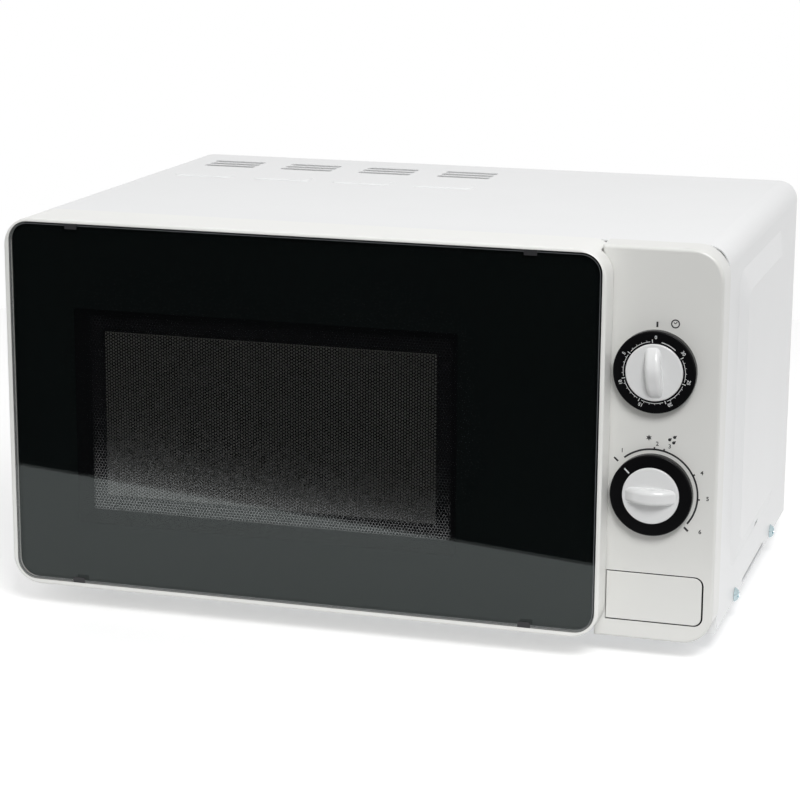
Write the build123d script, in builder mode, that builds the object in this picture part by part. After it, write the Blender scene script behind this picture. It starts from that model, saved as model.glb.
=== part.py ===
from build123d import *
from math import cos, degrees, radians, sin, sqrt
import os

os.makedirs("parts", exist_ok=True)

# Overall sizes, in millimetres. X runs to the right, -Y is the front, Z is up.
cabinet_width = 450.0
front_height = 242.0
foot_height = 12.0
body_depth = 310.0
door_proud = 20.0
panel_depth = 22.0
front_overhang = 1.0
sheet = 0.8

# Clearances
shadow_gap = 1.0
sheet_gap = 0.6
running_gap = 0.05
contact_gap = 0.3
seat_gap = 0.1
door_gap = 0.7
door_side_gap = 1.0
step_gap = 0.8
button_gap = 0.35
slot_gap = 1.0

# Steel cover
cover_radius = 13.0
cover_lift = 2.0
side_rise = 4.0
side_pad_length = 177.0
side_pad_height = 189.0
side_pad_corner = 12.0
side_pad_bevel = 14.0
side_pad_front = 65.0
side_pad_drop = 23.0
vent_groups = 4
vent_rows = 3
vent_length = 38.0
vent_width = 7.0
vent_row_pitch = 11.0
vent_group_pitch = 58.5
vent_from_left = 47.5
vent_from_rear = 46.0
top_pad_length = 42.0
top_pad_width = 16.0
top_pad_rise = 0.8
top_pad_bevel = 1.2
top_pad_corner = 4.0
top_pad_ahead = 61.0
side_slit_length = 90.0
side_slit_height = 3.0
side_slit_rise = 3.5
side_hole_length = 12.0
side_hole_height = 4.0
side_hole_rise = 30.0

# Case screws
screw_radius = 1.9
screw_head_radius = 4.8
screw_head_height = 3.0
screw_length = 8.0
screw_rise = 5.0
screw_spacing = 151.0
screw_mid_depth = 167.0

# Base, feet and rear panel
flange_height = 14.0
foot_top_radius = 11.0
foot_bottom_radius = 9.0
foot_edge = 1.5
foot_inset_x = 36.0
foot_inset_front = 40.0
foot_inset_rear = 26.0
base_slot_count = 6
base_slot_length = 60.0
base_slot_width = 5.0
base_slot_pitch = 12.0
rear_recess = 2.0
rear_slot_count = 8
rear_slot_length = 70.0
rear_slot_width = 5.0
rear_slot_pitch = 10.0
rear_slot_step = 91.0
rear_slot_columns = 3
rear_slot_rows = 2
inlet_radius = 8.0
inlet_bore_radius = 4.0
inlet_flange_radius = 10.5
inlet_flange = 1.2
inlet_length = 9.0
inlet_height = 30.0
inlet_from_right = 30.0

# Control panel
panel_width = 73.0
panel_wall = 2.5
panel_corner = 19.0
panel_edge = 2.0
knob_from_right = 39.0
timer_height = 168.0
power_height = 92.5
shaft_radius = 3.0
shaft_hole_radius = 5.0

# Knobs
dial_radius = 25.0
dial_thick = 5.0
dial_edge = 0.8
dial_gap = 0.5
grip_radius = 17.3
grip_rise = 1.0
grip_edge = 0.8
rib_width = 9.6
rib_length = 30.6
rib_rise = 6.5
rib_edge = 3.0
timer_lean = 5.0
shaft_socket = 3.0

# Timer unit and power selector behind the control panel
timer_width = 44.0
timer_tall = 48.0
timer_deep = 40.0
selector_tall = 40.0
selector_deep = 34.0
unit_edge = 3.0
shaft_reach = 22.0
bell_radius = 15.0
bell_height = 8.0

# Door
door_lift = 3.5
door_corner = 18.0
door_edge = 1.6
door_wall = 2.5
door_stile = 22.0
door_step = 8.0
door_ledge = 2.6
rim_left = 3.3
rim_right = 2.4
rim_top = 2.0
rim_bottom = 3.3
pane_thick = 3.0
pane_recess = 0.4
pane_corner = 13.0
ledge_left = 26.0
ledge_right = 20.0
ledge_bottom = 16.5
ledge_top = 14.0
clip_width = 8.0
clip_tall = 3.5
clip_from_side = 46.0

# Hinge
hinge_from_left = 11.0
hinge_from_plate = 13.5
hinge_pin_radius = 3.0
hinge_pin_length = 10.0
hinge_tongue = 2.0
hinge_tongue_width = 12.0
hinge_low = 16.0
hinge_high = 12.0
hinge_notch = 9.5
hinge_plate_width = 18.0
hinge_plate_height = 34.0
hinge_plate_thick = 1.5

# Door screen, choke and window
window_from_left = 52.0
window_from_right = 97.0
window_from_bottom = 50.0
window_from_top = 62.5
window_border = 8.0
screen_depth = 14.0
choke_from_stile = 1.0
choke_from_latch = 36.0
choke_from_bottom = 4.5
choke_from_top = 14.0
choke_wall = 1.2
choke_cover_thick = 3.3
film_thick = 0.5

# Oven cavity
compartment_width = 127.0
cavity_height = 186.0
cavity_depth = 270.0
cavity_from_left = 21.0
cavity_floor_rise = 26.0

# Door latch, latch board and release lever
latch_thick = 3.0
latch_from_right = 16.0
latch_bar_deep = 16.5
hook_reach = 23.0
hook_tall = 10.0
hook_nose = 4.0
hook_nose_drop = 4.0
hook_low = 72.0
hook_spacing = 110.0
latch_end = 6.0
latch_lift = 3.0
keeper_deep = 5.0
keeper_thick = 3.0
keeper_from_nose = 3.0
board_thick = 2.5
board_front = 2.0
board_deep = 34.0
board_low = 48.0
board_tall = 165.0
board_left = 21.0
switch_width = 10.0
switch_deep = 16.0
switch_tall = 28.0
switch_inset = 8.0
lever_pivot_behind = 7.0
lever_pivot_height = 58.0
lever_hub_radius = 3.0
lever_arm_thick = 4.0
lever_drop = 28.0
lever_end = 2.0
lever_tip_deep = 2.5
lever_reach = 16.0
lever_tip_wide = 7.0
guide_tall = 4.0
latch_spring_length = 16.0
latch_spring_radius = 2.4
latch_spring_wire = 0.5
latch_spring_turns = 7
guide_inset = 25.0

# Door release button
button_low = 12.0
button_high = 42.0
button_right_margin = 7.0
button_corner = 5.0
button_proud = 0.4
button_deep = 8.4
button_wall = 1.8
button_travel = 5.0
button_edge = 0.6
stem_wide = 4.0
stem_tall = 2.0
stem_guide = 6.0
button_spring_radius = 3.2
button_spring_wire = 0.5
button_spring_turns = 7

# Turntable
tray_to_wall = 28.5
tray_thick = 4.0
tray_rim_height = 13.0
tray_rim_width = 8.0
wheel_radius = 7.0
wheel_width = 7.0
wheel_edge = 1.0
wheel_inset = 26.5
wheel_count = 3
axle_radius = 1.9
ring_to_wheel = 2.5
ring_width = 8.0
ring_thick = 4.0
coupler_hub_radius = 9.0
coupler_arm_length = 26.0
coupler_arm_width = 7.0
coupler_height = 12.0
tray_lug_radius = 3.0
tray_lug_circle = 20.0
tray_lug_height = 4.0
table_shaft_radius = 3.5
table_shaft_hole = 8.0
table_motor_radius = 24.0
table_motor_height = 18.0
table_motor_edge = 2.0

# Waveguide and magnetron
guide_x_size = 35.0
guide_y_size = 90.0
guide_z_size = 68.0
guide_flange = 8.0
guide_flange_thick = 1.5
guide_front = 92.0
guide_below_top = 8.0
guide_port_y = 70.0
guide_port_z = 46.0
mica_y = 104.0
mica_z = 78.0
mica_thick = 0.8
mica_corner = 6.0
tube_plate = 2.0
tube_plate_size = 84.0
tube_radius = 18.0
fin_size = 62.0
fin_thick = 1.2
fin_pitch = 5.5
fin_count = 7
yoke_thick = 2.0
yoke_length = 46.0
filter_box_size = 46.0
filter_box_length = 28.0
antenna_radius = 7.0
antenna_length = 20.0

# Transformer, capacitor and diode
core_width = 84.0
core_deep = 50.0
core_tall = 70.0
core_leg = 28.0
core_window_width = 14.0
core_window_tall = 42.0
winding_build = 13.0
winding_gap = 0.3
primary_tall = 18.0
secondary_tall = 20.0
core_from_plate = 58.0
core_from_cavity = 20.0
capacitor_wide = 54.0
capacitor_tall = 32.0
capacitor_long = 68.0
capacitor_behind_core = 16.0
terminal_wide = 6.3
terminal_thick = 1.0
terminal_long = 9.0
bracket_sheet = 1.2
bracket_wide = 34.0
bracket_tall = 30.0
bracket_foot = 12.0
diode_radius = 4.0
diode_long = 20.0

# Fan
fan_radius = 42.0
fan_tip_gap = 2.0
fan_hub_radius = 9.0
fan_hub_length = 14.0
fan_blades = 5
fan_blade_chord = 16.0
fan_blade_thick = 1.5
fan_pitch = 32.0
fan_height = 62.0
shroud_thick = 2.0
shroud_wall = 2.0
shroud_deep = 20.0
shroud_tall = 126.0
shroud_from_rear = 54.0
fan_post_radius = 3.5
fan_post_length = 22.0
fan_post_spread = 50.0
fan_bar_tall = 8.0
fan_bar_thick = 2.0
fan_motor_wide = 50.0
fan_motor_tall = 56.0
fan_motor_deep = 18.0
fan_shaft_radius = 2.0

# Lamp, filter board and thermal cut-out
lamp_box_x = 12.0
lamp_box_y = 26.0
lamp_box_z = 30.0
lamp_front = 30.0
lamp_below_top = 40.0
lamp_radius = 9.0
lamp_neck_radius = 6.3
lamp_length = 22.0
lamp_hole_columns = 4
lamp_hole_rows = 3
lamp_hole_radius = 2.0
lamp_hole_pitch = 7.0
pcb_long = 80.0
pcb_wide = 40.0
pcb_thick = 1.6
pcb_below_top = 30.0
pcb_from_rear = 50.0
choke_coil_radius = 11.0
choke_coil_bore = 5.0
choke_coil_tall = 8.0
fuse_radius = 3.0
fuse_length = 22.0
cutout_radius = 8.0
cutout_tall = 7.0
cutout_flange = 1.0

# Places worked out from the sizes above
front_width = cabinet_width + 2 * front_overhang
overall_depth = body_depth + door_proud
door_front_y = -overall_depth / 2
panel_y = door_front_y + door_proud
plate_y = panel_y + panel_depth
plate_back_y = plate_y + sheet
rear_y = overall_depth / 2
base_z = foot_height
base_top_z = base_z + sheet
top_z = base_z + front_height
cover_half = cabinet_width / 2
cover_top = top_z - front_overhang
cover_bottom = base_z + cover_lift
cover_front_y = plate_y + shadow_gap
inner_half = cover_half - sheet - sheet_gap
inner_top = cover_top - sheet - sheet_gap
inner_radius = cover_radius - sheet - sheet_gap
rear_panel_y = rear_y - rear_recess - sheet
door_left = -front_width / 2
door_bottom = base_z + door_lift
door_rear_y = plate_y - door_gap
panel_right = front_width / 2
panel_left = panel_right - panel_width
door_inner_right = panel_left - door_side_gap
door_right = door_inner_right + door_step
door_width = door_right - door_left
knob_x = panel_right - knob_from_right
timer_z = base_z + timer_height
power_z = base_z + power_height
panel_back_y = panel_y + panel_wall
plate_right = panel_left + panel_wall
cavity_left = cavity_from_left - cover_half
cavity_width = cabinet_width - cavity_from_left - compartment_width
cavity_right = cavity_left + cavity_width
cavity_floor_z = base_z + cavity_floor_rise
cavity_top_z = cavity_floor_z + cavity_height
cavity_back_y = plate_back_y + cavity_depth
cavity_x = (cavity_left + cavity_right) / 2
cavity_y = (plate_back_y + cavity_back_y) / 2
hinge_x = door_left + hinge_from_left
hinge_y = plate_y - hinge_from_plate
low_tongue_z = door_bottom + hinge_low
high_tongue_z = top_z - hinge_high - hinge_tongue
screw_z = base_z + screw_rise
screw_y = (panel_y + screw_mid_depth - screw_spacing / 2, panel_y + screw_mid_depth + screw_spacing / 2)


def facing_front(y):
    """A drawing plane across the object at depth y, drawn in X and Z, whose normal points to the front."""
    return Plane.XZ.offset(-y)


def span_box(x_span, y_span, z_span, mode=Mode.ADD):
    """A block between low and high values of X, Y and Z."""
    with Locations((sum(x_span) / 2, sum(y_span) / 2, sum(z_span) / 2)):
        Box(x_span[1] - x_span[0], y_span[1] - y_span[0], z_span[1] - z_span[0], mode=mode)


def rod_x(x_span, y, z, radius, mode=Mode.ADD):
    """A round bar along X."""
    with Locations(((x_span[0] + x_span[1]) / 2, y, z)):
        Cylinder(radius, x_span[1] - x_span[0], rotation=(0, 90, 0), mode=mode)


def rod_y(x, y_span, z, radius, mode=Mode.ADD):
    """A round bar along Y."""
    with Locations((x, (y_span[0] + y_span[1]) / 2, z)):
        Cylinder(radius, y_span[1] - y_span[0], rotation=(90, 0, 0), mode=mode)


def rod_z(x, y, z_span, radius, mode=Mode.ADD):
    """A round bar along Z."""
    with Locations((x, y, (z_span[0] + z_span[1]) / 2)):
        Cylinder(radius, z_span[1] - z_span[0], mode=mode)


def save(piece, name):
    """Label a finished piece and write it to its own file."""
    piece.label = name
    export_step(piece, f"parts/{name}.step")


# Steel cover: a sheet bent over the top and both sides
side_pad_y = panel_y + side_pad_front + side_pad_length / 2
side_pad_z = cover_top - side_pad_drop - side_pad_height / 2
vent_y = rear_y - vent_from_rear
vent_x = -cover_half + vent_from_left + vent_group_pitch * (vent_groups - 1) / 2
cover_length = rear_y - cover_front_y
with BuildPart() as outer_cover:
    with BuildSketch(facing_front(rear_y)) as cover_outside:
        with Locations((0, (cover_bottom + cover_top) / 2)):
            Rectangle(cabinet_width, cover_top - cover_bottom)
        fillet(cover_outside.vertices().group_by(Axis.Y)[-1], cover_radius)
    extrude(amount=cover_length)
    with BuildSketch(facing_front(rear_y)) as cover_inside:
        with Locations((0, (cover_bottom + cover_top) / 2 - sheet)):
            Rectangle(cabinet_width - 2 * sheet, cover_top - cover_bottom)
        fillet(cover_inside.vertices().group_by(Axis.Y)[-1], cover_radius - sheet)
    extrude(amount=cover_length, mode=Mode.SUBTRACT)
    for side in (-1, 1):
        with BuildSketch(Plane.YZ.offset(side * cover_half)):
            with Locations((side_pad_y, side_pad_z)):
                RectangleRounded(side_pad_length, side_pad_height, side_pad_corner)
        with BuildSketch(Plane.YZ.offset(side * (cover_half + side_rise))):
            with Locations((side_pad_y, side_pad_z)):
                RectangleRounded(side_pad_length - 2 * side_pad_bevel,
                                 side_pad_height - 2 * side_pad_bevel, side_pad_corner)
        loft()
        with BuildSketch(Plane.YZ.offset(side * (cover_half - sheet))):
            with Locations((side_pad_y, side_pad_z)):
                RectangleRounded(side_pad_length, side_pad_height, side_pad_corner)
        with BuildSketch(Plane.YZ.offset(side * (cover_half - sheet + side_rise))):
            with Locations((side_pad_y, side_pad_z)):
                RectangleRounded(side_pad_length - 2 * side_pad_bevel,
                                 side_pad_height - 2 * side_pad_bevel, side_pad_corner)
        loft(mode=Mode.SUBTRACT)
        wall_span = sorted((side * (cover_half - 2 * sheet), side * (cover_half + side_rise + sheet)))
        for y in screw_y:
            rod_x(wall_span, y, screw_z, screw_radius + seat_gap, mode=Mode.SUBTRACT)
        slit_mid_y = sum(screw_y) / 2
        slit_low = base_z + side_slit_rise
        span_box(wall_span, (slit_mid_y - side_slit_length / 2, slit_mid_y + side_slit_length / 2),
                 (slit_low, slit_low + side_slit_height), mode=Mode.SUBTRACT)
        hole_low = base_z + side_hole_rise
        span_box(wall_span, (slit_mid_y - side_hole_length / 2, slit_mid_y + side_hole_length / 2),
                 (hole_low, hole_low + side_hole_height), mode=Mode.SUBTRACT)
    with BuildSketch(Plane.XY.offset(cover_top)):
        with Locations((vent_x, vent_y)):
            with GridLocations(vent_group_pitch, vent_row_pitch, vent_groups, vent_rows):
                RectangleRounded(vent_length, vent_width, vent_width / 4)
    extrude(amount=-2 * sheet, mode=Mode.SUBTRACT)
    for group in range(vent_groups):
        pad_x = vent_x + (group - (vent_groups - 1) / 2) * vent_group_pitch
        with BuildSketch(Plane.XY.offset(cover_top)):
            with Locations((pad_x, vent_y - top_pad_ahead)):
                RectangleRounded(top_pad_length, top_pad_width, top_pad_corner)
        with BuildSketch(Plane.XY.offset(cover_top + top_pad_rise)):
            with Locations((pad_x, vent_y - top_pad_ahead)):
                RectangleRounded(top_pad_length - 2 * top_pad_bevel,
                                 top_pad_width - 2 * top_pad_bevel, top_pad_corner - top_pad_bevel / 2)
        loft()
save(outer_cover.part, "outer_cover")

# Screws that hold the cover to the base's side flanges
with BuildPart() as case_screws:
    for side in (-1, 1):
        for y in screw_y:
            head_span = sorted((side * cover_half, side * (cover_half + screw_head_height)))
            shank_span = sorted((side * (cover_half - screw_length), side * cover_half))
            rod_x(head_span, y, screw_z, screw_head_radius)
            rod_x(shank_span, y, screw_z, screw_radius)
save(case_screws.part, "case_screws")

# Base plate with upturned side flanges
with BuildPart() as base_plate:
    span_box((-inner_half, inner_half), (plate_back_y, rear_panel_y), (base_z, base_top_z))
    for side in (-1, 1):
        flange_span = sorted((side * (inner_half - sheet), side * inner_half))
        span_box(flange_span, (plate_back_y, rear_panel_y), (base_top_z, base_top_z + flange_height))
        hole_span = sorted((side * (inner_half - 2 * sheet), side * (inner_half + sheet)))
        for y in screw_y:
            rod_x(hole_span, y, screw_z, screw_radius + seat_gap, mode=Mode.SUBTRACT)
    with BuildSketch(Plane.XY.offset(base_top_z)):
        with Locations((cavity_right - cavity_width / 4, rear_panel_y - base_slot_length)):
            with GridLocations(base_slot_pitch, 1, base_slot_count, 1):
                SlotOverall(base_slot_length, base_slot_width, rotation=90)
    extrude(amount=-2 * sheet, mode=Mode.SUBTRACT)
save(base_plate.part, "base_plate")

# Four feet
foot_places = [(side * (cover_half - foot_inset_x), y)
               for side in (-1, 1)
               for y in (plate_back_y + foot_inset_front, rear_y - foot_inset_rear)]
with BuildPart() as feet:
    for foot_x, foot_y in foot_places:
        with Locations((foot_x, foot_y, foot_height / 2)):
            Cone(foot_bottom_radius, foot_top_radius, foot_height)
    fillet(feet.edges().group_by(Axis.Z)[0], foot_edge)
save(feet.part, "feet")

# Rear panel with fan slots and the hole for the mains inlet bush
inlet_x = cover_half - inlet_from_right
inlet_z = base_z + inlet_height
fan_x = (cavity_right + sheet + inner_half) / 2
fan_z = base_top_z + fan_height
with BuildPart() as rear_panel:
    with BuildSketch(facing_front(rear_panel_y + sheet)) as rear_outline:
        with Locations((0, (base_z + inner_top) / 2)):
            Rectangle(2 * inner_half, inner_top - base_z)
        fillet(rear_outline.vertices().group_by(Axis.Y)[-1], inner_radius)
        with Locations((fan_x, fan_z + rear_slot_pitch)):
            with GridLocations(1, rear_slot_pitch, 1, rear_slot_count):
                SlotOverall(rear_slot_length, rear_slot_width, mode=Mode.SUBTRACT)
        with Locations((cavity_x, cavity_top_z - rear_slot_pitch)):
            with GridLocations(rear_slot_step, rear_slot_pitch, rear_slot_columns, rear_slot_rows):
                SlotOverall(rear_slot_length, rear_slot_width, mode=Mode.SUBTRACT)
        with Locations((inlet_x, inlet_z)):
            Circle(inlet_radius + seat_gap, mode=Mode.SUBTRACT)
    extrude(amount=sheet)
save(rear_panel.part, "rear_panel")

# Bush where the mains lead enters
with BuildPart() as inlet_bush:
    bush_back_y = rear_panel_y + sheet + inlet_flange
    rod_y(inlet_x, (rear_panel_y + sheet, bush_back_y), inlet_z, inlet_flange_radius)
    rod_y(inlet_x, (bush_back_y - inlet_length, rear_panel_y + sheet), inlet_z, inlet_radius)
    rod_y(inlet_x, (bush_back_y - inlet_length, bush_back_y), inlet_z, inlet_bore_radius, mode=Mode.SUBTRACT)
save(inlet_bush.part, "inlet_bush")

# Control panel: a moulded shell with a window for the release button, right beside the door
button_left = door_right + button_gap
button_right = panel_right - button_right_margin
button_low_z = base_z + button_low
button_high_z = base_z + button_high
button_back_y = panel_y - button_proud + button_deep
with BuildPart() as control_panel:
    with BuildSketch(facing_front(plate_y)) as panel_outline:
        with Locations(((panel_left + panel_right) / 2, (base_z + top_z) / 2)):
            Rectangle(panel_right - panel_left, top_z - base_z)
        fillet(panel_outline.vertices().group_by(Axis.X)[-1], panel_corner)
    extrude(amount=panel_depth)
    fillet(control_panel.faces().sort_by(Axis.Y)[0].edges(), panel_edge)
    with BuildSketch(facing_front(plate_y)) as panel_hollow:
        with Locations(((panel_left + panel_right) / 2, (base_z + top_z) / 2)):
            Rectangle(panel_right - panel_left - 2 * panel_wall, top_z - base_z - 2 * panel_wall)
        fillet(panel_hollow.vertices().group_by(Axis.X)[-1], panel_corner - panel_wall)
    extrude(amount=panel_depth - panel_wall, mode=Mode.SUBTRACT)
    for z in (timer_z, power_z):
        rod_y(knob_x, (panel_y - sheet, panel_back_y + sheet), z, shaft_hole_radius, mode=Mode.SUBTRACT)
    with BuildSketch(facing_front(button_back_y + button_travel + slot_gap)) as button_window:
        with Locations(((button_left + button_right) / 2, (button_low_z + button_high_z) / 2)):
            Rectangle(button_right - button_left + 2 * button_gap,
                      button_high_z - button_low_z + 2 * button_gap)
        fillet(button_window.vertices().group_by(Axis.X)[-1], button_corner + button_gap)
    extrude(amount=panel_depth, mode=Mode.SUBTRACT)
save(control_panel.part, "control_panel")

# Release button: a hollow cap with a push stem
lever_z = base_z + lever_pivot_height
lever_y = plate_back_y + lever_pivot_behind
stem_x = button_left + button_wall + button_spring_radius + slot_gap
stem_z = lever_z - lever_drop
stem_end_y = lever_y - lever_arm_thick / 2 - contact_gap - seat_gap
with BuildPart() as door_button:
    with BuildSketch(facing_front(button_back_y)) as cap_outline:
        with Locations(((button_left + button_right) / 2, (button_low_z + button_high_z) / 2)):
            Rectangle(button_right - button_left, button_high_z - button_low_z)
        fillet(cap_outline.vertices().group_by(Axis.X)[-1], button_corner)
    extrude(amount=button_deep)
    fillet(door_button.faces().sort_by(Axis.Y)[0].edges(), button_edge)
    with BuildSketch(facing_front(button_back_y)) as cap_hollow:
        with Locations(((button_left + button_right) / 2, (button_low_z + button_high_z) / 2)):
            Rectangle(button_right - button_left - 2 * button_wall,
                      button_high_z - button_low_z - 2 * button_wall)
        fillet(cap_hollow.vertices().group_by(Axis.X)[-1], button_corner - button_wall)
    extrude(amount=button_deep - button_wall, mode=Mode.SUBTRACT)
    span_box((stem_x - stem_wide / 2, stem_x + stem_wide / 2),
             (button_back_y - button_deep + button_wall, stem_end_y),
             (stem_z - stem_tall / 2, stem_z + stem_tall / 2))
save(door_button.part, "door_button")

# Timer unit and power selector, fixed to the back of the panel
shaft_tail_y = panel_back_y + shaft_reach
with BuildPart() as timer_unit:
    span_box((knob_x - timer_width / 2, knob_x + timer_width / 2),
             (panel_back_y, panel_back_y + timer_deep),
             (timer_z - timer_tall / 2, timer_z + timer_tall / 2))
    fillet(timer_unit.edges().filter_by(Axis.Y), unit_edge)
    rod_y(knob_x, (panel_back_y + timer_deep, panel_back_y + timer_deep + bell_height), timer_z, bell_radius)
    rod_y(knob_x, (panel_back_y, shaft_tail_y), timer_z, shaft_radius + running_gap, mode=Mode.SUBTRACT)
save(timer_unit.part, "timer_unit")

with BuildPart() as power_selector:
    span_box((knob_x - timer_width / 2, knob_x + timer_width / 2),
             (panel_back_y, panel_back_y + selector_deep),
             (power_z - selector_tall / 2, power_z + selector_tall / 2))
    fillet(power_selector.edges().filter_by(Axis.Y), unit_edge)
    rod_y(knob_x, (panel_back_y, shaft_tail_y), power_z, shaft_radius + running_gap, mode=Mode.SUBTRACT)
save(power_selector.part, "power_selector")

# Knobs: a black dial ring, a white grip, and a shaft. The rib across the grip is a slice of a wide
# cylinder, so its crest bows out in the middle. The timer stands a little past zero, the power rib
# lies level.
dial_back_y = panel_y - dial_gap
dial_front_y = dial_back_y - dial_thick
grip_face_y = dial_front_y - grip_rise
crest_y = grip_face_y - rib_rise
crest_radius = ((rib_length / 2) ** 2 + rib_rise ** 2) / (2 * rib_rise)
for knob_name, knob_z, rib_turn in (("timer", timer_z, timer_lean), ("power", power_z, 90)):
    with BuildPart() as dial:
        rod_y(knob_x, (dial_front_y, dial_back_y), knob_z, dial_radius)
        fillet(dial.faces().sort_by(Axis.Y)[0].edges(), dial_edge)
        rod_y(knob_x, (dial_front_y, dial_back_y), knob_z, grip_radius + seat_gap, mode=Mode.SUBTRACT)
    save(dial.part, knob_name + "_dial")

    with BuildPart() as grip:
        rod_y(knob_x, (grip_face_y, dial_back_y), knob_z, grip_radius)
        fillet(grip.faces().sort_by(Axis.Y)[0].edges(), grip_edge)
        with BuildPart() as rib:
            with Locations(Location((knob_x, crest_y + crest_radius, knob_z), (0, 90 - rib_turn, 0))):
                Cylinder(crest_radius, rib_width)
            fillet(rib.edges().filter_by(GeomType.CIRCLE), rib_edge)
            rod_y(knob_x, (dial_front_y, crest_y + 2 * crest_radius), knob_z, 2 * crest_radius,
                  mode=Mode.SUBTRACT)
        rod_y(knob_x, (dial_back_y - shaft_socket, dial_back_y), knob_z, shaft_radius + running_gap,
              mode=Mode.SUBTRACT)
    save(grip.part, knob_name + "_knob")

    with BuildPart() as shaft:
        rod_y(knob_x, (dial_back_y - shaft_socket + seat_gap, shaft_tail_y - seat_gap), knob_z, shaft_radius)
    save(shaft.part, knob_name + "_shaft")

# Latch places, shared by the door, the front plate and the latch board
latch_x = (door_right - latch_from_right, door_right - latch_from_right + latch_thick)
hook_z = [base_z + hook_low + index * hook_spacing for index in (0, 1)]
hook_tip_y = plate_y + hook_reach
slot_x = (latch_x[0] - 2 * slot_gap, latch_x[1] + 2 * slot_gap)

# Front plate round the cavity's mouth
with BuildPart() as front_plate:
    with BuildSketch(facing_front(plate_back_y)) as plate_outline:
        with Locations(((plate_right - inner_half) / 2, (base_z + inner_top) / 2)):
            Rectangle(plate_right + inner_half, inner_top - base_z)
        fillet(plate_outline.vertices().group_by(Axis.X)[0].sort_by(Axis.Y)[-1], inner_radius)
        with Locations((cavity_x, (cavity_floor_z + cavity_top_z) / 2)):
            Rectangle(cavity_width, cavity_height, mode=Mode.SUBTRACT)
        for z in hook_z:
            slot_low = z - hook_nose_drop - slot_gap
            slot_high = z + hook_tall + latch_lift + slot_gap
            with Locations((sum(slot_x) / 2, (slot_low + slot_high) / 2)):
                Rectangle(slot_x[1] - slot_x[0], slot_high - slot_low, mode=Mode.SUBTRACT)
        for z in (low_tongue_z, high_tongue_z):
            with Locations((hinge_x, z + hinge_tongue / 2)):
                Rectangle(hinge_tongue_width + 2 * seat_gap, hinge_tongue + 2 * seat_gap, mode=Mode.SUBTRACT)
    extrude(amount=sheet)
save(front_plate.part, "front_plate")

# Hinge brackets: a plate behind the front plate, a tongue through it and a pin
with BuildPart() as hinge_brackets:
    for tongue_z, pin_way in ((low_tongue_z, 1), (high_tongue_z, -1)):
        plate_mid_z = tongue_z + hinge_tongue / 2
        span_box((hinge_x - hinge_tongue_width / 2 - sheet, hinge_x + hinge_plate_width / 2),
                 (plate_back_y, plate_back_y + hinge_plate_thick),
                 (plate_mid_z + pin_way * hinge_plate_height / 4 - hinge_plate_height / 4,
                  plate_mid_z + pin_way * hinge_plate_height / 4 + hinge_plate_height / 4))
        span_box((hinge_x - hinge_tongue_width / 2, hinge_x + hinge_tongue_width / 2),
                 (hinge_y, plate_back_y + hinge_plate_thick), (tongue_z, tongue_z + hinge_tongue))
        rod_z(hinge_x, hinge_y, (tongue_z, tongue_z + hinge_tongue), hinge_tongue_width / 2)
        pin_ends = (tongue_z, tongue_z + hinge_tongue + hinge_pin_length)
        if pin_way < 0:
            pin_ends = (tongue_z - hinge_pin_length, tongue_z + hinge_tongue)
        rod_z(hinge_x, hinge_y, pin_ends, hinge_pin_radius)
save(hinge_brackets.part, "hinge_brackets")

# Coil springs, wound along Z from their lower end
def coil(radius, wire, length, turns):
    rise = length - wire
    with BuildPart() as wound:
        with BuildLine() as winding:
            Helix(pitch=rise / turns, height=rise, radius=radius)
        with BuildSketch(Plane(origin=winding.line @ 0, z_dir=winding.line % 0)):
            Circle(wire / 2)
        sweep(is_frenet=True)
    return Location((0, 0, wire / 2)) * wound.part


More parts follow.
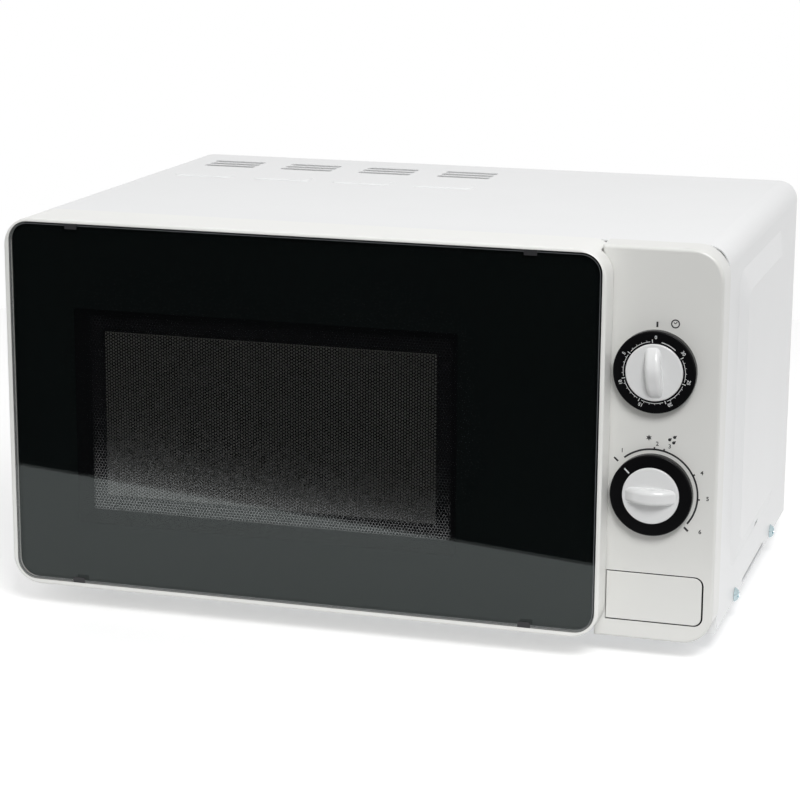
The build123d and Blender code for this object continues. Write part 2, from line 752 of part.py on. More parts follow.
# Door frame: a deep moulded frame, its left rear edge rounded about the hinge axis and its right edge
# stepped, so that the front half covers the control panel's edge
pane_left = door_left + rim_left
pane_right = door_right - rim_right
pane_bottom = door_bottom + rim_bottom
pane_top = top_z - rim_top
pane_front_y = door_front_y + pane_recess
pane_back_y = pane_front_y + pane_thick
ledge_back_y = pane_back_y + door_ledge
hollow_left = door_left + door_stile
hollow_right = door_inner_right - door_wall
hollow_bottom = door_bottom + door_wall
hollow_top = top_z - door_wall
latch_back_y = door_rear_y - choke_cover_thick - contact_gap
latch_bar_y = (latch_back_y - latch_bar_deep, latch_back_y)
latch_bar_low = hook_z[0] - latch_end
latch_spring_y = sum(latch_bar_y) / 2
with BuildPart() as door_frame:
    with BuildSketch(facing_front(door_rear_y)):
        with Locations(((door_left + door_right) / 2, (door_bottom + top_z) / 2)):
            RectangleRounded(door_width, top_z - door_bottom, door_corner)
    extrude(amount=door_rear_y - door_front_y)
    fillet(door_frame.faces().sort_by(Axis.Y)[0].edges(), door_edge)
    with BuildSketch(Plane.XY.offset(base_z)):
        with Locations((door_left + hinge_from_left / 2, (hinge_y + plate_y) / 2)):
            Rectangle(hinge_from_left, plate_y - hinge_y)
        with Locations((hinge_x, hinge_y)):
            Circle(hinge_from_left, mode=Mode.SUBTRACT)
    extrude(amount=front_height, mode=Mode.SUBTRACT)
    span_box((door_inner_right, door_right + sheet), (panel_y - step_gap, plate_y), (base_z, top_z + sheet),
             mode=Mode.SUBTRACT)
    with BuildSketch(facing_front(pane_back_y)):
        with Locations(((pane_left + pane_right) / 2, (pane_bottom + pane_top) / 2)):
            RectangleRounded(pane_right - pane_left, pane_top - pane_bottom, pane_corner)
    extrude(amount=pane_thick + 2 * pane_recess, mode=Mode.SUBTRACT)
    with BuildSketch(facing_front(door_rear_y)) as door_hollow:
        with Locations(((hollow_left + hollow_right) / 2, (hollow_bottom + hollow_top) / 2)):
            Rectangle(hollow_right - hollow_left, hollow_top - hollow_bottom)
        fillet(door_hollow.vertices().group_by(Axis.X)[-1], door_corner - door_wall)
    extrude(amount=door_rear_y - ledge_back_y, mode=Mode.SUBTRACT)
    span_box((door_left + ledge_left, door_right - ledge_right), (pane_front_y, plate_y),
             (door_bottom + ledge_bottom, top_z - ledge_top), mode=Mode.SUBTRACT)
    for z in (low_tongue_z, high_tongue_z):
        span_box((door_left - sheet, hinge_x + hinge_notch), (hinge_y - hinge_notch, plate_y),
                 (z - contact_gap, z + hinge_tongue + contact_gap), mode=Mode.SUBTRACT)
    rod_z(hinge_x, hinge_y, (low_tongue_z, low_tongue_z + hinge_tongue + hinge_pin_length + contact_gap),
          hinge_pin_radius + running_gap, mode=Mode.SUBTRACT)
    rod_z(hinge_x, hinge_y, (high_tongue_z - hinge_pin_length - contact_gap, high_tongue_z),
          hinge_pin_radius + running_gap, mode=Mode.SUBTRACT)
    guide_x = (latch_x[0] - guide_tall / 2, latch_x[1] + guide_tall / 2)
    for z in (hook_z[0] + guide_inset, hook_z[1] - guide_inset):
        span_box(guide_x, (ledge_back_y, latch_bar_y[0] - contact_gap), (z, z + guide_tall))
    spring_foot_z = latch_bar_low - latch_spring_length
    span_box(guide_x, (ledge_back_y, latch_spring_y + latch_spring_radius + guide_tall / 2),
             (spring_foot_z - guide_tall, spring_foot_z))
save(door_frame.part, "door_frame")

# Door pane and the four clips on its top and bottom edges
with BuildPart() as door_pane:
    with BuildSketch(facing_front(pane_back_y)):
        with Locations(((pane_left + pane_right) / 2, (pane_bottom + pane_top) / 2)):
            RectangleRounded(pane_right - pane_left - 2 * seat_gap, pane_top - pane_bottom - 2 * seat_gap,
                             pane_corner - seat_gap)
    extrude(amount=pane_thick)
save(door_pane.part, "door_pane")

with BuildPart() as pane_clips:
    for clip_x in (door_left + clip_from_side, door_right - clip_from_side):
        for clip_z in (pane_bottom + seat_gap, pane_top - seat_gap - clip_tall):
            span_box((clip_x - clip_width / 2, clip_x + clip_width / 2), (door_front_y, pane_front_y),
                     (clip_z, clip_z + clip_tall))
save(pane_clips.part, "pane_clips")

# Door screen: the flat steel sheet between window and cavity
screen_y = door_front_y + screen_depth
window_left = door_left + window_from_left
window_right = door_right - window_from_right
window_low = door_bottom + window_from_bottom
window_high = top_z - window_from_top
window_width = window_right - window_left
window_height = window_high - window_low
choke_left = hollow_left + choke_from_stile
choke_right = latch_x[0] - choke_from_latch
choke_low = hollow_bottom + choke_from_bottom
choke_high = hollow_top - choke_from_top
with BuildPart() as door_screen:
    span_box((choke_left, choke_right), (screen_y, screen_y + sheet), (choke_low, choke_high))
save(door_screen.part, "door_screen")

# Clear film on the cavity side of the screen
with BuildPart() as door_film:
    span_box((window_left - window_border + seat_gap, window_right + window_border - seat_gap),
             (screen_y + sheet, screen_y + sheet + film_thick),
             (window_low - window_border + seat_gap, window_high + window_border - seat_gap))
save(door_film.part, "door_film")

# Choke frame: a channel of folded steel round the window
choke_cover_y = door_rear_y - choke_cover_thick
window_x_mid = (window_left + window_right) / 2
window_z_mid = (window_low + window_high) / 2
choke_x_mid = (choke_left + choke_right) / 2
choke_z_mid = (choke_low + choke_high) / 2
with BuildPart() as choke_frame:
    with BuildSketch(facing_front(choke_cover_y)):
        with Locations((choke_x_mid, choke_z_mid)):
            Rectangle(choke_right - choke_left, choke_high - choke_low)
        with Locations((window_x_mid, window_z_mid)):
            Rectangle(window_width + 2 * window_border, window_height + 2 * window_border, mode=Mode.SUBTRACT)
    extrude(amount=choke_cover_y - screen_y - sheet)
    with BuildSketch(facing_front(choke_cover_y)):
        with Locations((choke_x_mid, choke_z_mid)):
            Rectangle(choke_right - choke_left - 2 * choke_wall, choke_high - choke_low - 2 * choke_wall)
        with Locations((window_x_mid, window_z_mid)):
            Rectangle(window_width + 2 * window_border + 2 * choke_wall,
                      window_height + 2 * window_border + 2 * choke_wall, mode=Mode.SUBTRACT)
    extrude(amount=choke_cover_y - screen_y - sheet - choke_wall, mode=Mode.SUBTRACT)
save(choke_frame.part, "choke_frame")

# Choke cover: the plastic ring on the door's inner side
with BuildPart() as choke_cover:
    with BuildSketch(facing_front(door_rear_y)) as choke_outline:
        with Locations(((hollow_left + hollow_right) / 2, (hollow_bottom + hollow_top) / 2)):
            Rectangle(hollow_right - hollow_left - 2 * seat_gap, hollow_top - hollow_bottom - 2 * seat_gap)
        fillet(choke_outline.vertices().group_by(Axis.X)[-1], door_corner - door_wall)
        with Locations((window_x_mid, window_z_mid)):
            Rectangle(window_width + 2 * window_border, window_height + 2 * window_border, mode=Mode.SUBTRACT)
        for z in hook_z:
            with Locations((sum(latch_x) / 2, z + (hook_tall + latch_lift) / 2)):
                Rectangle(latch_thick + 2 * contact_gap, hook_tall + latch_lift + 2 * contact_gap,
                          mode=Mode.SUBTRACT)
    extrude(amount=choke_cover_thick)
save(choke_cover.part, "choke_cover")

# Door latch: a bar inside the door with two hooks that reach through the front plate
with BuildPart() as door_latch:
    with BuildSketch(Plane.YZ.offset(latch_x[0])):
        bar_high = hook_z[1] + hook_tall + latch_end
        with Locations((sum(latch_bar_y) / 2, (latch_bar_low + bar_high) / 2)):
            Rectangle(latch_bar_y[1] - latch_bar_y[0], bar_high - latch_bar_low)
        for z in hook_z:
            with BuildLine():
                nose_y = hook_tip_y - hook_nose
                Polyline((latch_bar_y[0], z), (nose_y, z), (nose_y, z - hook_nose_drop),
                         (hook_tip_y, z - hook_nose_drop), (hook_tip_y, z + hook_tall - hook_nose),
                         (nose_y, z + hook_tall), (latch_bar_y[0], z + hook_tall), close=True)
            make_face()
    extrude(amount=latch_thick)
save(door_latch.part, "door_latch")

latch_coil_length = latch_spring_length - 2 * seat_gap
latch_coil = coil(latch_spring_radius, latch_spring_wire, latch_coil_length, latch_spring_turns)
latch_coil_place = Location((sum(latch_x) / 2, latch_spring_y, spring_foot_z + seat_gap))
save(latch_coil_place * latch_coil, "latch_spring")

# Latch board behind the front plate, with a keeper under each hook and a bearing for the lever
board_x = (latch_x[1] + 3 * slot_gap, latch_x[1] + 3 * slot_gap + board_thick)
flange_left = board_x[0] - board_left
keeper_y = hook_tip_y - hook_nose - keeper_from_nose
board_low_z = base_z + board_low
board_high_z = board_low_z + board_tall
with BuildPart() as latch_board:
    with BuildSketch(facing_front(plate_back_y + board_front)):
        with Locations(((flange_left + board_x[1]) / 2, (board_low_z + board_high_z) / 2)):
            Rectangle(board_x[1] - flange_left, board_tall)
        for z in hook_z:
            slot_low = z - hook_nose_drop - slot_gap
            slot_high = z + hook_tall + latch_lift + slot_gap
            with Locations((sum(slot_x) / 2, (slot_low + slot_high) / 2)):
                Rectangle(slot_x[1] - slot_x[0], slot_high - slot_low, mode=Mode.SUBTRACT)
        with Locations(((board_x[0] + stem_x + stem_guide) / 2, (stem_z - stem_guide + board_low_z) / 2)):
            Rectangle(stem_x + stem_guide - board_x[0], board_low_z - stem_z + stem_guide)
        with Locations((stem_x, stem_z)):
            Rectangle(stem_wide + 2 * slot_gap, stem_tall + 2 * slot_gap, mode=Mode.SUBTRACT)
    extrude(amount=board_front)
    span_box(board_x, (plate_back_y + board_front, plate_back_y + board_deep), (board_low_z, board_high_z))
    for z in hook_z:
        keeper_top = z - hook_nose_drop - contact_gap
        span_box((latch_x[0] - slot_gap, board_x[0]), (keeper_y - keeper_deep, keeper_y),
                 (keeper_top - keeper_thick, keeper_top))
    rod_x((board_x[0] - sheet, board_x[1] + sheet), lever_y, lever_z, lever_hub_radius + running_gap,
          mode=Mode.SUBTRACT)
save(latch_board.part, "latch_board")

button_inside_y = button_back_y - button_deep + button_wall
button_coil_length = plate_back_y - button_inside_y - 2 * seat_gap
button_coil = coil(button_spring_radius, button_spring_wire, button_coil_length, button_spring_turns)
button_coil_place = Location((stem_x, button_inside_y + seat_gap, stem_z), (-90, 0, 0))
save(button_coil_place * button_coil, "button_spring")

# Release lever: a hub through the board, a lower arm behind the button and a tip under the hook
lever_tip_x = sum(latch_x) / 2
lever_tip_z = hook_z[0] - hook_nose_drop - contact_gap
with BuildPart() as release_lever:
    rod_x((lever_tip_x - lever_tip_wide / 2, stem_x + lever_arm_thick / 2), lever_y, lever_z,
          lever_hub_radius)
    span_box((stem_x - lever_arm_thick / 2, stem_x + lever_arm_thick / 2),
             (lever_y - lever_arm_thick / 2, lever_y + lever_arm_thick / 2),
             (stem_z - lever_end, lever_z))
    span_box((lever_tip_x - lever_tip_wide / 2, lever_tip_x + lever_tip_wide / 2),
             (lever_y, lever_y + lever_reach), (lever_z - lever_arm_thick / 2, lever_z + lever_arm_thick / 2))
    span_box((lever_tip_x - lever_tip_wide / 2, lever_tip_x + lever_tip_wide / 2),
             (lever_y + lever_reach - lever_tip_deep, lever_y + lever_reach), (lever_z, lever_tip_z))
save(release_lever.part, "release_lever")

# Three interlock switches on the latch board
switch_y = plate_back_y + board_deep - switch_inset - switch_deep
with BuildPart() as interlock_switches:
    first_switch_z = hook_z[0] + hook_tall + latch_end
    for z in (first_switch_z, first_switch_z + switch_tall + switch_inset, hook_z[1] - switch_tall / 2):
        span_box((board_x[1], board_x[1] + switch_width), (switch_y, switch_y + switch_deep),
                 (z, z + switch_tall))
        span_box((board_x[1] + switch_width / 4, board_x[1] + switch_width * 3 / 4),
                 (switch_y - switch_width / 4, switch_y), (z + switch_tall / 2, z + switch_tall * 3 / 4))
save(interlock_switches.part, "interlock_switches")

# Oven cavity: floor, ceiling and three walls of enamelled sheet
floor_hole_z = cavity_floor_z - sheet
with BuildPart() as cavity_floor:
    span_box((cavity_left - sheet, cavity_right + sheet), (plate_back_y, cavity_back_y + sheet),
             (floor_hole_z, cavity_floor_z))
    rod_z(cavity_x, cavity_y, (floor_hole_z - sheet, cavity_floor_z + sheet), table_shaft_hole,
          mode=Mode.SUBTRACT)
save(cavity_floor.part, "cavity_floor")

with BuildPart() as cavity_ceiling:
    span_box((cavity_left - sheet, cavity_right + sheet), (plate_back_y, cavity_back_y + sheet),
             (cavity_top_z, cavity_top_z + sheet))
save(cavity_ceiling.part, "cavity_ceiling")

with BuildPart() as cavity_left_wall:
    span_box((cavity_left - sheet, cavity_left), (plate_back_y, cavity_back_y + sheet),
             (cavity_floor_z, cavity_top_z))
save(cavity_left_wall.part, "cavity_left_wall")

with BuildPart() as cavity_rear_wall:
    span_box((cavity_left, cavity_right), (cavity_back_y, cavity_back_y + sheet),
             (cavity_floor_z, cavity_top_z))
save(cavity_rear_wall.part, "cavity_rear_wall")

guide_y = plate_back_y + guide_front + guide_y_size / 2
guide_z = cavity_top_z - guide_below_top - guide_z_size / 2
lamp_y = plate_back_y + lamp_front + lamp_box_y / 2
lamp_z = cavity_top_z - lamp_below_top
with BuildPart() as cavity_right_wall:
    with BuildSketch(Plane.YZ.offset(cavity_right)):
        with Locations(((plate_back_y + cavity_back_y + sheet) / 2, (cavity_floor_z + cavity_top_z) / 2)):
            Rectangle(cavity_depth + sheet, cavity_height)
        with Locations((guide_y, guide_z)):
            Rectangle(guide_port_y, guide_port_z, mode=Mode.SUBTRACT)
        with Locations((lamp_y, lamp_z)):
            with GridLocations(lamp_hole_pitch, lamp_hole_pitch, lamp_hole_columns, lamp_hole_rows):
                Circle(lamp_hole_radius, mode=Mode.SUBTRACT)
    extrude(amount=sheet)
save(cavity_right_wall.part, "cavity_right_wall")

with BuildPart() as waveguide_cover:
    with BuildSketch(Plane.YZ.offset(cavity_right - mica_thick)):
        with Locations((guide_y, guide_z)):
            RectangleRounded(mica_y, mica_z, mica_corner)
    extrude(amount=mica_thick)
save(waveguide_cover.part, "waveguide_cover")

# Waveguide and magnetron beside the cavity
wall_outer_x = cavity_right + sheet
guide_end_x = wall_outer_x + guide_x_size
with BuildPart() as waveguide:
    with BuildSketch(Plane.YZ.offset(wall_outer_x)):
        with Locations((guide_y, guide_z)):
            Rectangle(guide_y_size + 2 * guide_flange, guide_z_size)
    extrude(amount=guide_flange_thick)
    with BuildSketch(Plane.YZ.offset(wall_outer_x)):
        with Locations((guide_y, guide_z)):
            Rectangle(guide_y_size, guide_z_size)
    extrude(amount=guide_x_size)
    half_y = guide_y_size / 2 - guide_flange_thick
    half_z = guide_z_size / 2 - guide_flange_thick
    span_box((wall_outer_x, guide_end_x - guide_flange_thick), (guide_y - half_y, guide_y + half_y),
             (guide_z - half_z, guide_z + half_z), mode=Mode.SUBTRACT)
    rod_x((guide_end_x - 2 * guide_flange_thick, guide_end_x), guide_y, guide_z, antenna_radius + seat_gap,
          mode=Mode.SUBTRACT)
save(waveguide.part, "waveguide")

yoke_start_x = guide_end_x + tube_plate
yoke_end_x = yoke_start_x + yoke_length
yoke_half = fin_size / 2 + yoke_thick
with BuildPart() as magnetron:
    rod_x((guide_end_x - antenna_length, guide_end_x), guide_y, guide_z, antenna_radius)
    span_box((guide_end_x, yoke_start_x), (guide_y - tube_plate_size / 2, guide_y + tube_plate_size / 2),
             (guide_z - yoke_half, guide_z + yoke_half))
    rod_x((guide_end_x, yoke_end_x), guide_y, guide_z, tube_radius)
    for index in range(fin_count):
        fin_x = (yoke_start_x + yoke_end_x) / 2 + (index - (fin_count - 1) / 2) * fin_pitch
        span_box((fin_x - fin_thick / 2, fin_x + fin_thick / 2),
                 (guide_y - fin_size / 2, guide_y + fin_size / 2),
                 (guide_z - fin_size / 2, guide_z + fin_size / 2))
    for side in (-1, 1):
        yoke_z = sorted((guide_z + side * fin_size / 2, guide_z + side * yoke_half))
        span_box((yoke_start_x, yoke_end_x), (guide_y - fin_size / 2, guide_y + fin_size / 2), yoke_z)
    span_box((yoke_end_x, yoke_end_x + yoke_thick), (guide_y - fin_size / 2, guide_y + fin_size / 2),
             (guide_z - yoke_half, guide_z + yoke_half))
    span_box((yoke_end_x + yoke_thick, yoke_end_x + yoke_thick + filter_box_length),
             (guide_y - filter_box_size / 2, guide_y + filter_box_size / 2),
             (guide_z - filter_box_size / 2, guide_z + filter_box_size / 2))
save(magnetron.part, "magnetron")

# Transformer: a laminated core with two windings round its middle leg
core_x = wall_outer_x + core_from_cavity + core_width / 2
core_y = plate_back_y + core_from_plate + core_deep / 2 + winding_build
with BuildPart() as transformer_core:
    with BuildSketch(facing_front(core_y + core_deep / 2)):
        with Locations((core_x, base_top_z + core_tall / 2)):
            Rectangle(core_width, core_tall)
            with GridLocations(core_leg + core_window_width, 1, 2, 1):
                Rectangle(core_window_width, core_window_tall, mode=Mode.SUBTRACT)
    extrude(amount=core_deep)
save(transformer_core.part, "transformer_core")

winding_low = base_top_z + (core_tall - core_window_tall) / 2 + winding_gap
winding_high = winding_low + core_window_tall - 2 * winding_gap
with BuildPart() as transformer_windings:
    for low, high in ((winding_low, winding_low + primary_tall),
                      (winding_high - secondary_tall, winding_high)):
        with BuildSketch(Plane.XY.offset(low)):
            with Locations((core_x, core_y)):
                RectangleRounded(core_leg + 2 * winding_build, core_deep + 2 * winding_build,
                                 winding_build / 2)
                Rectangle(core_leg + 2 * winding_gap, core_deep + 2 * winding_gap, mode=Mode.SUBTRACT)
        extrude(amount=high - low)
save(transformer_windings.part, "transformer_windings")

# Capacitor with its bracket, and the diode beside it
capacitor_y = core_y + core_deep / 2 + winding_build + capacitor_behind_core
capacitor_x = core_x + winding_build
capacitor_z = base_top_z + capacitor_tall / 2
with BuildPart() as hv_capacitor:
    with BuildSketch(facing_front(capacitor_y + capacitor_long)):
        with Locations((capacitor_x, capacitor_z)):
            SlotOverall(capacitor_wide, capacitor_tall)
    extrude(amount=capacitor_long)
    for side in (-1, 1):
        terminal_x = capacitor_x + side * capacitor_wide / 4
        span_box((terminal_x - terminal_wide / 2, terminal_x + terminal_wide / 2),
                 (capacitor_y - terminal_long, capacitor_y),
                 (capacitor_z - terminal_thick / 2, capacitor_z + terminal_thick / 2))
save(hv_capacitor.part, "hv_capacitor")

with BuildPart() as capacitor_bracket:
    bracket_y = capacitor_y + capacitor_long
    span_box((capacitor_x - bracket_wide / 2, capacitor_x + bracket_wide / 2),
             (bracket_y, bracket_y + bracket_sheet), (base_top_z, base_top_z + bracket_tall))
    span_box((capacitor_x - bracket_wide / 2, capacitor_x + bracket_wide / 2),
             (bracket_y + bracket_sheet, bracket_y + bracket_foot), (base_top_z, base_top_z + bracket_sheet))
save(capacitor_bracket.part, "capacitor_bracket")

with BuildPart() as hv_diode:
    diode_x = capacitor_x - capacitor_wide / 2 - 2 * diode_radius
    diode_z = base_top_z + diode_radius + contact_gap
    rod_y(diode_x, (capacitor_y, capacitor_y + diode_long), diode_z, diode_radius)
save(hv_diode.part, "hv_diode")

# Cooling fan: shroud, motor on two posts, shaft and blades
shroud_y = rear_y - shroud_from_rear
bore_radius = fan_radius + fan_tip_gap
motor_y = shroud_y + shroud_thick + fan_post_length + fan_bar_thick
with BuildPart() as fan_shroud:
    with BuildSketch(facing_front(shroud_y + shroud_thick)):
        with Locations(((wall_outer_x + inner_half - sheet) / 2, base_top_z + shroud_tall / 2)):
            Rectangle(inner_half - wall_outer_x - sheet - 2 * sheet_gap, shroud_tall)
        with Locations((fan_x, fan_z)):
            Circle(bore_radius, mode=Mode.SUBTRACT)
    extrude(amount=shroud_thick)
    with BuildSketch(facing_front(shroud_y + shroud_deep)):
        with Locations((fan_x, fan_z)):
            Circle(bore_radius + shroud_wall)
            Circle(bore_radius, mode=Mode.SUBTRACT)
    extrude(amount=shroud_deep - shroud_thick)
    for side in (-1, 1):
        rod_y(fan_x + side * fan_post_spread, (shroud_y + shroud_thick, motor_y - fan_bar_thick), fan_z,
              fan_post_radius)
save(fan_shroud.part, "fan_shroud")

with BuildPart() as fan_motor:
    bar_half = fan_post_spread + fan_post_radius
    span_box((fan_x - bar_half, fan_x + bar_half), (motor_y - fan_bar_thick, motor_y),
             (fan_z - fan_bar_tall / 2, fan_z + fan_bar_tall / 2))
    span_box((fan_x - fan_motor_wide / 2, fan_x + fan_motor_wide / 2), (motor_y, motor_y + fan_motor_deep),
             (fan_z - fan_motor_tall / 2, fan_z + fan_motor_tall / 2))
    rod_y(fan_x, (motor_y - fan_bar_thick, motor_y + fan_motor_deep), fan_z, fan_shaft_radius + running_gap,
          mode=Mode.SUBTRACT)
save(fan_motor.part, "fan_motor")

fan_hub_y = shroud_y + shroud_thick + fan_hub_length / 2
with BuildPart(Plane(origin=(fan_x, fan_hub_y, fan_z), x_dir=(1, 0, 0), z_dir=(0, 1, 0))) as fan_blade:
    Cylinder(fan_hub_radius, fan_hub_length)
    with PolarLocations((fan_radius + fan_hub_radius) / 2 - fan_blade_thick, fan_blades):
        Box(fan_radius - fan_hub_radius, fan_blade_chord, fan_blade_thick, rotation=(fan_pitch, 0, 0))
    Cylinder(fan_shaft_radius + seat_gap, fan_hub_length, mode=Mode.SUBTRACT)
save(fan_blade.part, "fan_blade")

with BuildPart() as fan_shaft:
    rod_y(fan_x, (fan_hub_y - fan_hub_length / 2, motor_y + fan_motor_deep), fan_z, fan_shaft_radius)
save(fan_shaft.part, "fan_shaft")

# Cavity lamp and its holder
with BuildPart() as lamp_holder:
    lamp_end_x = wall_outer_x + lamp_length + lamp_box_x
    span_box((lamp_end_x - lamp_box_x, lamp_end_x), (lamp_y - lamp_box_y / 2, lamp_y + lamp_box_y / 2),
             (lamp_z - lamp_box_z / 2, lamp_z + lamp_box_z / 2))
    span_box((wall_outer_x, lamp_end_x - lamp_box_x), (lamp_y - lamp_box_y / 2, lamp_y + lamp_box_y / 2),
             (lamp_z + lamp_box_z / 2 - sheet, lamp_z + lamp_box_z / 2))
save(lamp_holder.part, "lamp_holder")

with BuildPart() as cavity_lamp:
    shoulder_x = lamp_radius + sqrt(lamp_radius ** 2 - lamp_neck_radius ** 2)
    with BuildSketch():
        with BuildLine():
            ThreePointArc((0, 0), (lamp_radius, lamp_radius), (shoulder_x, lamp_neck_radius))
            Polyline((shoulder_x, lamp_neck_radius), (lamp_length - seat_gap, lamp_neck_radius),
                     (lamp_length - seat_gap, 0), (0, 0))
        make_face()
    revolve(axis=Axis.X)
save(Location((wall_outer_x + seat_gap, lamp_y, lamp_z)) * cavity_lamp.part, "cavity_lamp")

# Mains filter board above the fan
pcb_z = cavity_top_z - pcb_below_top
pcb_y = rear_panel_y - pcb_from_rear
with BuildPart() as filter_board:
    span_box((wall_outer_x, wall_outer_x + pcb_long), (pcb_y, pcb_y + pcb_wide), (pcb_z, pcb_z + pcb_thick))
    rod_z(wall_outer_x + 2 * choke_coil_radius, pcb_y + pcb_wide / 2,
          (pcb_z + pcb_thick, pcb_z + pcb_thick + choke_coil_tall), choke_coil_radius)
    rod_z(wall_outer_x + 2 * choke_coil_radius, pcb_y + pcb_wide / 2,
          (pcb_z + pcb_thick, pcb_z + pcb_thick + choke_coil_tall), choke_coil_bore, mode=Mode.SUBTRACT)
    rod_x((wall_outer_x + 4 * choke_coil_radius, wall_outer_x + 4 * choke_coil_radius + fuse_length),
          pcb_y + pcb_wide / 2, pcb_z + pcb_thick + fuse_radius, fuse_radius)
save(filter_board.part, "filter_board")

# Thermal cut-out on the cavity's ceiling
with BuildPart() as thermal_cutout:
    cutout_low = cavity_top_z + sheet
    rod_z(cavity_x, cavity_y, (cutout_low, cutout_low + cutout_tall), cutout_radius)
    span_box((cavity_x - 2 * cutout_radius, cavity_x + 2 * cutout_radius),
             (cavity_y - cutout_radius / 2, cavity_y + cutout_radius / 2),
             (cutout_low, cutout_low + cutout_flange))
save(thermal_cutout.part, "thermal_cutout")

# Turntable motor under the floor
with BuildPart() as turntable_motor:
    rod_z(cavity_x, cavity_y, (floor_hole_z - table_motor_height, floor_hole_z), table_motor_radius)
    fillet(turntable_motor.edges().filter_by(GeomType.CIRCLE).sort_by(Axis.Z)[0], table_motor_edge)
    rod_z(cavity_x, cavity_y, (floor_hole_z - table_motor_height / 2, floor_hole_z),
          table_shaft_radius + running_gap, mode=Mode.SUBTRACT)
save(turntable_motor.part, "turntable_motor")

# Turntable: shaft, coupler and glass tray
tray_radius = cavity_width / 2 - tray_to_wall
wheel_track = tray_radius - wheel_inset
ring_outer = wheel_track - wheel_width / 2 - ring_to_wheel
ring_inner = ring_outer - ring_width
wheel_z = cavity_floor_z + contact_gap + wheel_radius
tray_z = wheel_z + wheel_radius + contact_gap
coupler_low = tray_z - coupler_height - seat_gap
coupler_high = tray_z - seat_gap
with BuildPart() as turntable_shaft:
    rod_z(cavity_x, cavity_y, (floor_hole_z - table_motor_height / 2 + seat_gap, coupler_high - tray_thick),
          table_shaft_radius)
save(turntable_shaft.part, "turntable_shaft")

with BuildPart() as turntable_coupler:
    with BuildSketch(Plane.XY.offset(coupler_low)):
        with Locations((cavity_x, cavity_y)):
            Circle(coupler_hub_radius)
            with PolarLocations(coupler_arm_length / 2, wheel_count):
                Rectangle(coupler_arm_length, coupler_arm_width)
    extrude(amount=coupler_height)
    rod_z(cavity_x, cavity_y, (coupler_low - sheet, coupler_high - tray_thick),
          table_shaft_radius + running_gap, mode=Mode.SUBTRACT)
save(turntable_coupler.part, "turntable_coupler")

with BuildPart() as glass_tray:
    with BuildSketch(Plane.XZ):
        with BuildLine():
            rim_in = tray_radius - tray_rim_width
            Polyline((0, 0), (rim_in, 0), (tray_radius, tray_rim_height - tray_thick / 2),
                     (tray_radius, tray_rim_height), (tray_radius - tray_thick, tray_rim_height),
                     (rim_in - tray_thick / 2, tray_thick), (0, tray_thick), (0, 0))
        make_face()
    revolve(axis=Axis.Z)
    fillet(glass_tray.edges().filter_by(GeomType.CIRCLE).group_by(Axis.Z)[-1], tray_thick / 4)
    with PolarLocations(tray_lug_circle, wheel_count, start_angle=180 / wheel_count):
        with Locations((0, 0, -tray_lug_height / 2)):
            Cylinder(tray_lug_radius, tray_lug_height)
glass_tray_placed = Location((cavity_x, cavity_y, tray_z)) * glass_tray.part
save(glass_tray_placed, "glass_tray")

# Roller ring with three stub axles and a wheel on each
with BuildPart() as roller_ring:
    with BuildSketch(Plane.XY.offset(wheel_z - ring_thick / 2)):
        with Locations((cavity_x, cavity_y)):
            Circle(ring_outer)
            Circle(ring_inner, mode=Mode.SUBTRACT)
    extrude(amount=ring_thick)
    axle_start = (ring_inner + ring_outer) / 2
    axle_end = wheel_track + wheel_width / 2 + axle_radius
    for index in range(wheel_count):
        angle = radians(index * 360 / wheel_count)
        middle = (axle_start + axle_end) / 2
        with Locations(Location((cavity_x + middle * cos(angle), cavity_y + middle * sin(angle), wheel_z),
                                (0, 90, degrees(angle)), Extrinsic.XYZ)):
            Cylinder(axle_radius, axle_end - axle_start)
save(roller_ring.part, "roller_ring")

for index in range(wheel_count):
    angle = radians(index * 360 / wheel_count)
    wheel_place = (cavity_x + wheel_track * cos(angle), cavity_y + wheel_track * sin(angle), wheel_z)
    wheel_plane = Plane(origin=wheel_place, z_dir=(cos(angle), sin(angle), 0))
    with BuildPart(wheel_plane) as roller_wheel:
        Cylinder(wheel_radius, wheel_width)
        chamfer(roller_wheel.edges().filter_by(GeomType.CIRCLE), wheel_edge)
        Cylinder(axle_radius + running_gap, wheel_width, mode=Mode.SUBTRACT)
    save(roller_wheel.part, f"roller_wheel_{index + 1}")
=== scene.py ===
from math import cos, pi, radians, sin, sqrt

import bpy
from mathutils import Matrix, Vector


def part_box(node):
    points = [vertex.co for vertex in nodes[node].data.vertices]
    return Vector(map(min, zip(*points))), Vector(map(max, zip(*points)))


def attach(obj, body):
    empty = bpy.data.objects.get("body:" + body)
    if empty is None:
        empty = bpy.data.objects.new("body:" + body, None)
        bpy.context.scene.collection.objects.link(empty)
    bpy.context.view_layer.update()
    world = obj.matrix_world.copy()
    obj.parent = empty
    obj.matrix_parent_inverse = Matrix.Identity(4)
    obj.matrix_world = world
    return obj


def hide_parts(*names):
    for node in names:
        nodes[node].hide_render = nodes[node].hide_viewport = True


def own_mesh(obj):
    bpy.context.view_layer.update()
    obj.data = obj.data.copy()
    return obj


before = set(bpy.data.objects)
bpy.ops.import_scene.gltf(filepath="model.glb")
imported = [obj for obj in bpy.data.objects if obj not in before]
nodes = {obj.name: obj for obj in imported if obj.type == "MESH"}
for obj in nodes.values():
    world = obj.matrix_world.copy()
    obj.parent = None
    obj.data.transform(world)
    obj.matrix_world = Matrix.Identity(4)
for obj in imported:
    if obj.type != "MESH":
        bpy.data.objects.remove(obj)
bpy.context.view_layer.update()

MM = 0.001
TURN = 2 * pi
PRINT_LIFT = 0.03 * MM


# Node trees
def new_material(name):
    material = bpy.data.materials.new(name)
    material.use_nodes = True
    tree = material.node_tree
    return material, tree, tree.nodes["Principled BSDF"]


